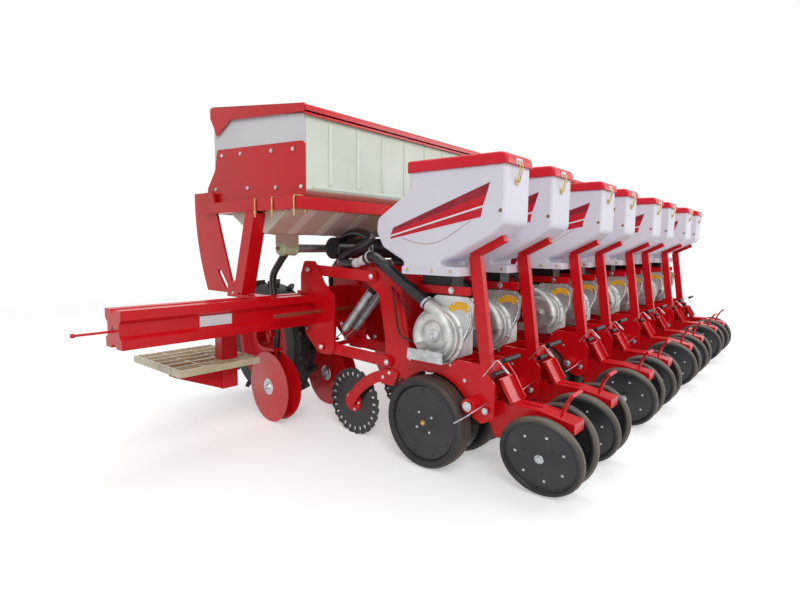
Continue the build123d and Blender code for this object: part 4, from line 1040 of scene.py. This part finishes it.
# %% Hopper trim
LEFT = -180
STRIPES = (
    (0, [(-661, 1006), (-1115, 1161), (-1103, 1121), (-652, 989)]),
    (1, [(-652, 988.5), (-1103, 1120.5), (-1089, 1081), (-647, 976)]),
    (2, [(-647, 975.5), (-1089, 1080.5), (-1087, 1073.5), (-645.5, 968.5)]),
    (1, [(-645.5, 968), (-1087, 1073), (-1081, 1039), (-645, 960)]),
)
MOULDING, LATCH, PLUG_AND_CREASE_SHADE = 3, 4, 5
HOPPER_FOOT = soft([(-713, 817, 3), (-713, 846, 4), (-724, 853, 4), (-968, 853, 4),
                    (-981, 846, 4), (-981, 817, 3)])
LATCH_PLATE = soft([(-1186, 1223, 3), (-1186, 1246, 8), (-1177, 1249, 4), (-1177, 1223, 2)])
LATCH_WIRE = [(-107, -1187, 1240), (-107, -1194, 1212), (-104, -1189, 1188), (-106, -1184, 1168),
              (-97, -1182, 1161), (-88, -1184, 1168), (-90, -1189, 1188), (-87, -1194, 1212),
              (-87, -1187, 1240)]
MOULDED_LINE_SHADE = [(LEFT, -710, 962), (LEFT, -795, 942), (LEFT, -860, 942), (LEFT, -923, 960),
                (LEFT, -1038, 1026)]
shape = Shape()
for x in ROWS:
    shape.place = shift_to(x)
    for finish, outline in STRIPES:
        shape.finish = finish
        shape.plate(outline, LEFT - 0.8, LEFT + 0.4, 0.0)
    shape.finish = MOULDING
    shape.plate(HOPPER_FOOT, LEFT - 4, LEFT + 1, 1.2)
    shape.plate(LATCH_PLATE, -120, -74, 1)
    shape.finish = LATCH
    for y in (-742, -867, -955):
        shape.bolt((LEFT - 4, y, 834), (-1, 0, 0), 9, 4, 1)
    shape.tube(curve(LATCH_WIRE, 5), 2.4, 8)
    shape.block((-109, -1181, 1156), (-85, -1175, 1178), 1.5)
    shape.finish = PLUG_AND_CREASE_SHADE
    shape.place = shift_to(x) @ along((LEFT + 0.2, -1160, 1060), (-1, 0, 0))
    shape.turned([(1, 3.5), (5, 3), (7, 1), (7.4, -0.5)], 18)
    # The moulded line is a thin brown tube: painted shade of the crease in the moulding.
    shape.place = shift_to(x)
    shape.tube(curve(MOULDED_LINE_SHADE, 8), 1.0, 6)
piece("hopper_trim", shape.done("hopper_trim", DECAL_DARK, DECAL_RED, DECAL_WHITE, HOPPER_WHITE,
                                YELLOW_ZINC, BROWN_SHAFT), "frame")

# %% [markdown]
# ## Row hardware
# Zinc-plated bolts hold every pivot of a row. At its tail sit a sprung pin of bright wire, two
# black handles that set the depth, a thin setting rod and a slotted guide. Cables run from the
# meter to the frame. Bolts could be instances of one object; in one mesh they stay one piece, and
# they are what makes the steelwork look assembled rather than cut from one block.

# %% Measures of the row hardware
SIDE_BOLTS = (
    # out from the row, Y, Z, across the flats
    (127.5, -138, 420, 17), (127.5, -40, 806, 17), (116.5, -570, 408, 17), (116.5, -472, 790, 17),
    (105, -541, 332, 12), (105, -579, 358, 12), (95, -975, 393, 11), (147, -1022, 308, 26),
    (109, -1080, 292, 18), (95, -690, 436, 8), (95, -905, 446, 8), (118, -20, 500, 9),
)
SPRUNG_PIN = [(-100, -1062, 426), (-100, -1100, 474), (-100, -1122, 499), (-98, -1146, 482),
              (-97, -1166, 464), (-93, -1172, 455), (-90, -1162, 456), (-90, -1138, 478)]
SETTING_ROD = [(-330, -1086, 306), (-250, -1086, 310), (-98, -1086, 327)]
HANDLES = ((-98, 22, -1148, 502), (-98, -30, -1108, 440))
CABLES = (
    (4, [(-20, -440, 790), (-40, -420, 770), (-60, -456, 721), (-90, -570, 751),
         (-112, -612, 682), (-112, -644, 552), (-112, -720, 520)]),
    (3.2, [(-112, -700, 640), (-112, -640, 700), (-70, -580, 740), (-40, -500, 740)]),
)
GUIDE_SIDE = soft([(-1106, 412, 3), (-1126, 420, 3), (-1176, 336, 4), (-1160, 318, 4)])
BOLTS, WIRE, BLACK, PAINTED = range(4)
print("pivot bolts on a row's left side", len(SIDE_BOLTS))

# %% Row hardware
shape = Shape()
for x in ROWS:
    shape.place, shape.finish = shift_to(x), BOLTS
    for reach, y, z, across in SIDE_BOLTS:
        shape.bolt((-reach, y, z), (-1, 0, 0), across, across * 0.45, 2)
        if across > 12:
            shape.bolt((reach, y, z), (1, 0, 0), across, across * 0.45, 2)
    shape.bolt((-95, -901, 753), (-1, 0, 0), 19, 9, 3)
    for dx in (-55, 55):
        shape.bolt((dx, 99, 512), (0, 1, 0), 17, 9, 2)
        shape.bolt((dx, -97, 512), (0, -1, 0), 17, 9, 2)
        shape.bolt((dx * 0.55, 87, 640), (0, 1, 0), 13, 7, 2)
    shape.finish = WIRE
    shape.tube(curve(SPRUNG_PIN, 6), 2.2, 8)
    shape.tube(SETTING_ROD, 2.8, 8)
    shape.finish = BLACK
    for low, high, y, z in HANDLES:
        grip = [(gx, y, z) for gx in (low, low + 6, (low + high) / 2, high - 5, high)]
        shape.tube(grip, 11, 14, lambda run: 1.0 + 0.04 * math.sin(run * 0.9))
    for thick, route in CABLES:
        shape.tube(curve(route, 9), thick, 8)
    shape.finish = PAINTED
    for dx in (-62, 44):
        shape.plate(GUIDE_SIDE, dx, dx + 6, 0.8)
    shape.plate([(-1106, 412), (-1110, 417), (-1164, 325), (-1160, 320)], -62, 50, 0.6)
    shape.tube([(-98, -1086, 327), (-60, -1086, 329), (-20, -1086, 332)], 4, 8)
piece("row_hardware", shape.done("row_hardware", ZINC, ZINC, BLACK_PLASTIC, RED), "frame")

# %% [markdown]
# ## Fertiliser metering
# Under the tank every row has a dosing unit: a brown neck that hangs from the floor, a pale green
# housing round its roller, with a raised rim at each end, and a galvanised tube that carries the
# shaft on to the next one. A bevelled cylinder would look turned; eight flats look moulded.

# %% Fertiliser metering
NECK_BROWN, HOUSING, SHAFT_TUBE, SHAFT = range(4)
ROLLER_Z = 912
TUBE_LEFT = ROWS[0] - 262
shape = Shape()
for x in ROWS:
    spot = x + FERTILISER_SIDE
    shape.place, shape.finish = Matrix.Identity(4), NECK_BROWN
    shape.block((spot - 46, -36, ROLLER_Z + 14), (spot + 40, 36, 984.4), 5)
    shape.block((spot - 58, -46, 978), (spot + 52, 46, 984.4), 2)
    shape.place, shape.finish = along((spot - 50, 0, ROLLER_Z), (1, 0, 0)), HOUSING
    shape.turned([(22, -3), (33, 0), (35, 4), (35, 92), (33, 98), (22, 100)], 8)
    for at in (6, 80):
        shape.turned([(35.5, at), (37.5, at + 2), (37.5, at + 9), (35.5, at + 11)], 24)
    shape.finish = SHAFT_TUBE
    for at in ring_of(4, 25, shift=0.5):
        shape.bolt(at, (0, 0, -1), 8, 4, 0.8)
shape.place, shape.finish = along((TUBE_LEFT, 0, ROLLER_Z), (1, 0, 0)), SHAFT_TUBE
run = ROWS[-1] - ROWS[0] + 110
shape.turned([(14, 0), (20, 60), (21, 64), (21, run - 4), (19, run)], 24)
shape.place, shape.finish = along((TUBE_LEFT - 26, 0, ROLLER_Z), (1, 0, 0)), SHAFT
shape.turned([(6, 0), (8, 2), (8, 40)], 6)
piece("metering_units", shape.done("metering_units", TANK_FLOOR, PALE_GREEN, GALVANISED,
                                   BROWN_SHAFT), "frame",
      ["fertiliser_metering"])

# %% [markdown]
# ## Clamps and plates of the frame
# U-bolts in yellow zinc clamp the tank to its beams, and large bolts hold the stands and the red
# end plates. Each U-bolt is a tube along a soft line with a nut on each leg; a torus cut in half
# would have no straight legs.

# %% Clamps of the tank
STANDS = (2116.5, 1000)
U_BOLT_Y = (-62, -190, -343)
END_BOLTS = ((285, 1366), (122, 1359), (-123, 1346), (-276, 1338), (348, 1205), (66, 1194),
             (-153, 1183), (-330, 1176))
PLATED, YELLOW, BROWN, BOOT, SIGN, ROD, HOLE_SHADE = range(7)
shape = Shape()
for side in (-1, 1):
    for x in (side * stand for stand in STANDS):
        shape.finish = YELLOW
        for y in U_BOLT_Y:
            hoop = [(x - 30, y, 1052), (x - 30, y, 1126), (x - 25, y, 1136), (x, y, 1137),
                    (x + 25, y, 1136), (x + 30, y, 1126), (x + 30, y, 1052)]
            shape.tube(curve(hoop, 6), 3.6, 8)
            for dx in (-30, 30):
                shape.bolt((x + dx, y, 1079), (0, 0, -1), 13, 10, 2)
        shape.finish = PLATED
        for dx in (-28, 28):
            for z in (520, 655):
                shape.bolt((x + dx, 89.5, z), (0, 1, 0), 18, 10, 3)
            shape.bolt((x + dx, 130, 692.5), (0, 0, 1), 18, 10, 3)
    for y, z in END_BOLTS:
        shape.bolt((side * 2096.5, y, z), (side, 0, 0), 13, 7, 3)
print("clamp faces", len(shape.mesh.faces))

# %% [markdown]
# ## Shaft, boots and small parts of the frame
# A brown hexagon shaft drives the meters, and black ribbed boots lead fertiliser from the dosing
# units down to the discs. A blank white plate sits in the toolbar's groove, a thin red rod ends
# in a ball at its left end, and two gussets carry each step. They are small, so they share the
# clamps' mesh rather than being objects of their own.

# %% Shaft, boots and small parts of the frame
METER_SHAFT = (-2096, -123, 599)
shape.finish, shape.place = BROWN, along(METER_SHAFT, (1, 0, 0))
shape.turned([(8, 0), (10.7, 2), (10.7, 4190), (8, 4192)], 6)
shape.finish, shape.place = BOOT, Matrix.Identity(4)
for x in ROWS:
    spot = x + FERTILISER_SIDE
    boot = [(spot - 6, 8, 888), (spot - 16, 44, 842), (spot - 20, 98, 764), (spot - 12, 98, 640),
            (spot + 2, 104, 520), (spot + 16, 126, 420), (spot + 12, 134, 330)]
    shape.tube(curve(boot, 3.0), 19, 12, lambda run: 1.0 - 0.12 * (0.5 - 0.5 * math.cos(run * 0.5)))
shape.finish = SIGN
shape.block((-2423, -58.5, 580), (-2273, -56, 626), 0.6)
shape.finish = ROD
shape.tube([(-2738, 0, 594), (-2790, 0, 594), (-2840, 0, 594), (-2872, 0, 594)], 5, 10)
shape.place = Matrix.Translation((-2876, 0, 594))
shape.turned([(0.5, -9), (6, -7), (9, 0), (6, 7), (0.5, 9)], 16)
shape.place = Matrix.Identity(4)
for side in (-1, 1):
    gusset = [(side * x, z) for x, z in ((2249, 252), (2249, 338), (2440, 352.5), (2476, 352.5),
                                         (2476, 346))]
    for y in (84, 126):
        shape.loops([[(x, y + dy, z) for x, z in gusset] for dy in (-2.5, 2.5)])
# A near-black disc at the toolbar's left end stands for a hole there: painted shade.
shape.finish, shape.place = HOLE_SHADE, along((-2740.2, 8, 603), (-1, 0, 0))
shape.turned([(1, 0.4), (9, 0.4), (9.5, -0.5)], 18)
piece("frame_hardware", shape.done("frame_hardware", ZINC, YELLOW_ZINC, BROWN_SHAFT, HOSE_BLACK,
                                   PANEL_WHITE, RED, SHADOW), "frame")

# %% [markdown]
# ## Floor and light
# The seeder stands on a pale studio floor under soft light. One large lamp above and behind the
# camera models the forms, a weaker one from the right keeps the far rows open, and an even pale
# world fills the shadows. The world shows as white to the camera, in reflections and through clear
# pieces, but lights less than that. A photograph of a sky could light it too, but it would bring
# its own colours, and the paint would no longer be judged as it is.

# %% Floor, world and lamps
NEAR, FAR = 4.5, 9.0
GLOW_NEAR, GLOW_MORE = 0.38, 0.62
WORLD_LIGHT = 0.50
SEEN = ("Is Camera Ray", "Is Glossy Ray", "Is Transmission Ray")
WHITE = (1, 1, 1, 1)


def share_of(tree, *kinds):
    """1 where a ray is one of the named kinds, else 0."""
    path = tree.nodes.new("ShaderNodeLightPath")
    value = path.outputs[kinds[0]]
    for kind in kinds[1:]:
        most = tree.nodes.new("ShaderNodeMath")
        most.operation = "MAXIMUM"
        tree.links.new(value, most.inputs[0])
        tree.links.new(path.outputs[kind], most.inputs[1])
        value = most.outputs["Value"]
    return value


def floor():
    """A wide plain floor with a faint mottle, white where it is seen far from the machine."""
    bpy.ops.mesh.primitive_plane_add(size=60, location=(0, 0, 0))
    plane = bpy.context.object
    plane.name = "floor"
    finish = Finish("floor_paper", 0.9)
    finish.shader.inputs["Specular IOR Level"].default_value = 0.1
    away = finish.node("ShaderNodeMapRange", Value=finish.across("X", "Y"))
    away.inputs["From Min"].default_value = NEAR
    away.inputs["From Max"].default_value = FAR
    far = away.outputs["Result"]
    tone = finish.ramp(finish.noise(0.7, 2), (0.3, linear(226, 226, 227)),
                       (0.7, linear(232, 232, 233)))
    finish.colour(finish.mix(far, tone, (0, 0, 0, 1)))
    glow = finish.maths("ADD", finish.maths("MULTIPLY", far, GLOW_MORE), GLOW_NEAR)
    finish.shader.inputs["Emission Color"].default_value = WHITE
    finish.feed(finish.maths("MULTIPLY", glow, share_of(finish.tree, *SEEN)),
                finish.shader.inputs["Emission Strength"])
    plane.data.materials.append(finish.material)


def world(strength):
    """Pale surroundings: white where they are seen or mirrored, weaker as light."""
    made = bpy.data.worlds.new("studio")
    scene.world = made
    made.use_nodes = True
    tree = made.node_tree
    back = tree.nodes["Background"]
    back.inputs["Color"].default_value = WHITE
    level = tree.nodes.new("ShaderNodeMapRange")
    level.inputs["To Min"].default_value = strength
    level.inputs["To Max"].default_value = 1.0
    tree.links.new(share_of(tree, *SEEN), level.inputs["Value"])
    tree.links.new(level.outputs["Result"], back.inputs["Strength"])


def lamp(name, at, target, size, watts):
    """A square soft lamp aimed at a point."""
    light = bpy.data.lights.new(name, "AREA")
    light.energy = watts
    light.size = size
    holder = bpy.data.objects.new(name, light)
    holder.location = at
    holder.rotation_euler = (Vector(target) - Vector(at)).to_track_quat("-Z", "Y").to_euler()
    scene.collection.objects.link(holder)


floor()
world(WORLD_LIGHT)
lamp("key", (-6.5, -5.5, 6.5), (0, 0, 0.6), 4.0, 330)
lamp("top", (0.5, 0.5, 7.0), (0, 0, 0.5), 5.0, 190)
lamp("right", (5.0, -5.0, 3.5), (0.5, 0, 0.6), 3.0, 130)
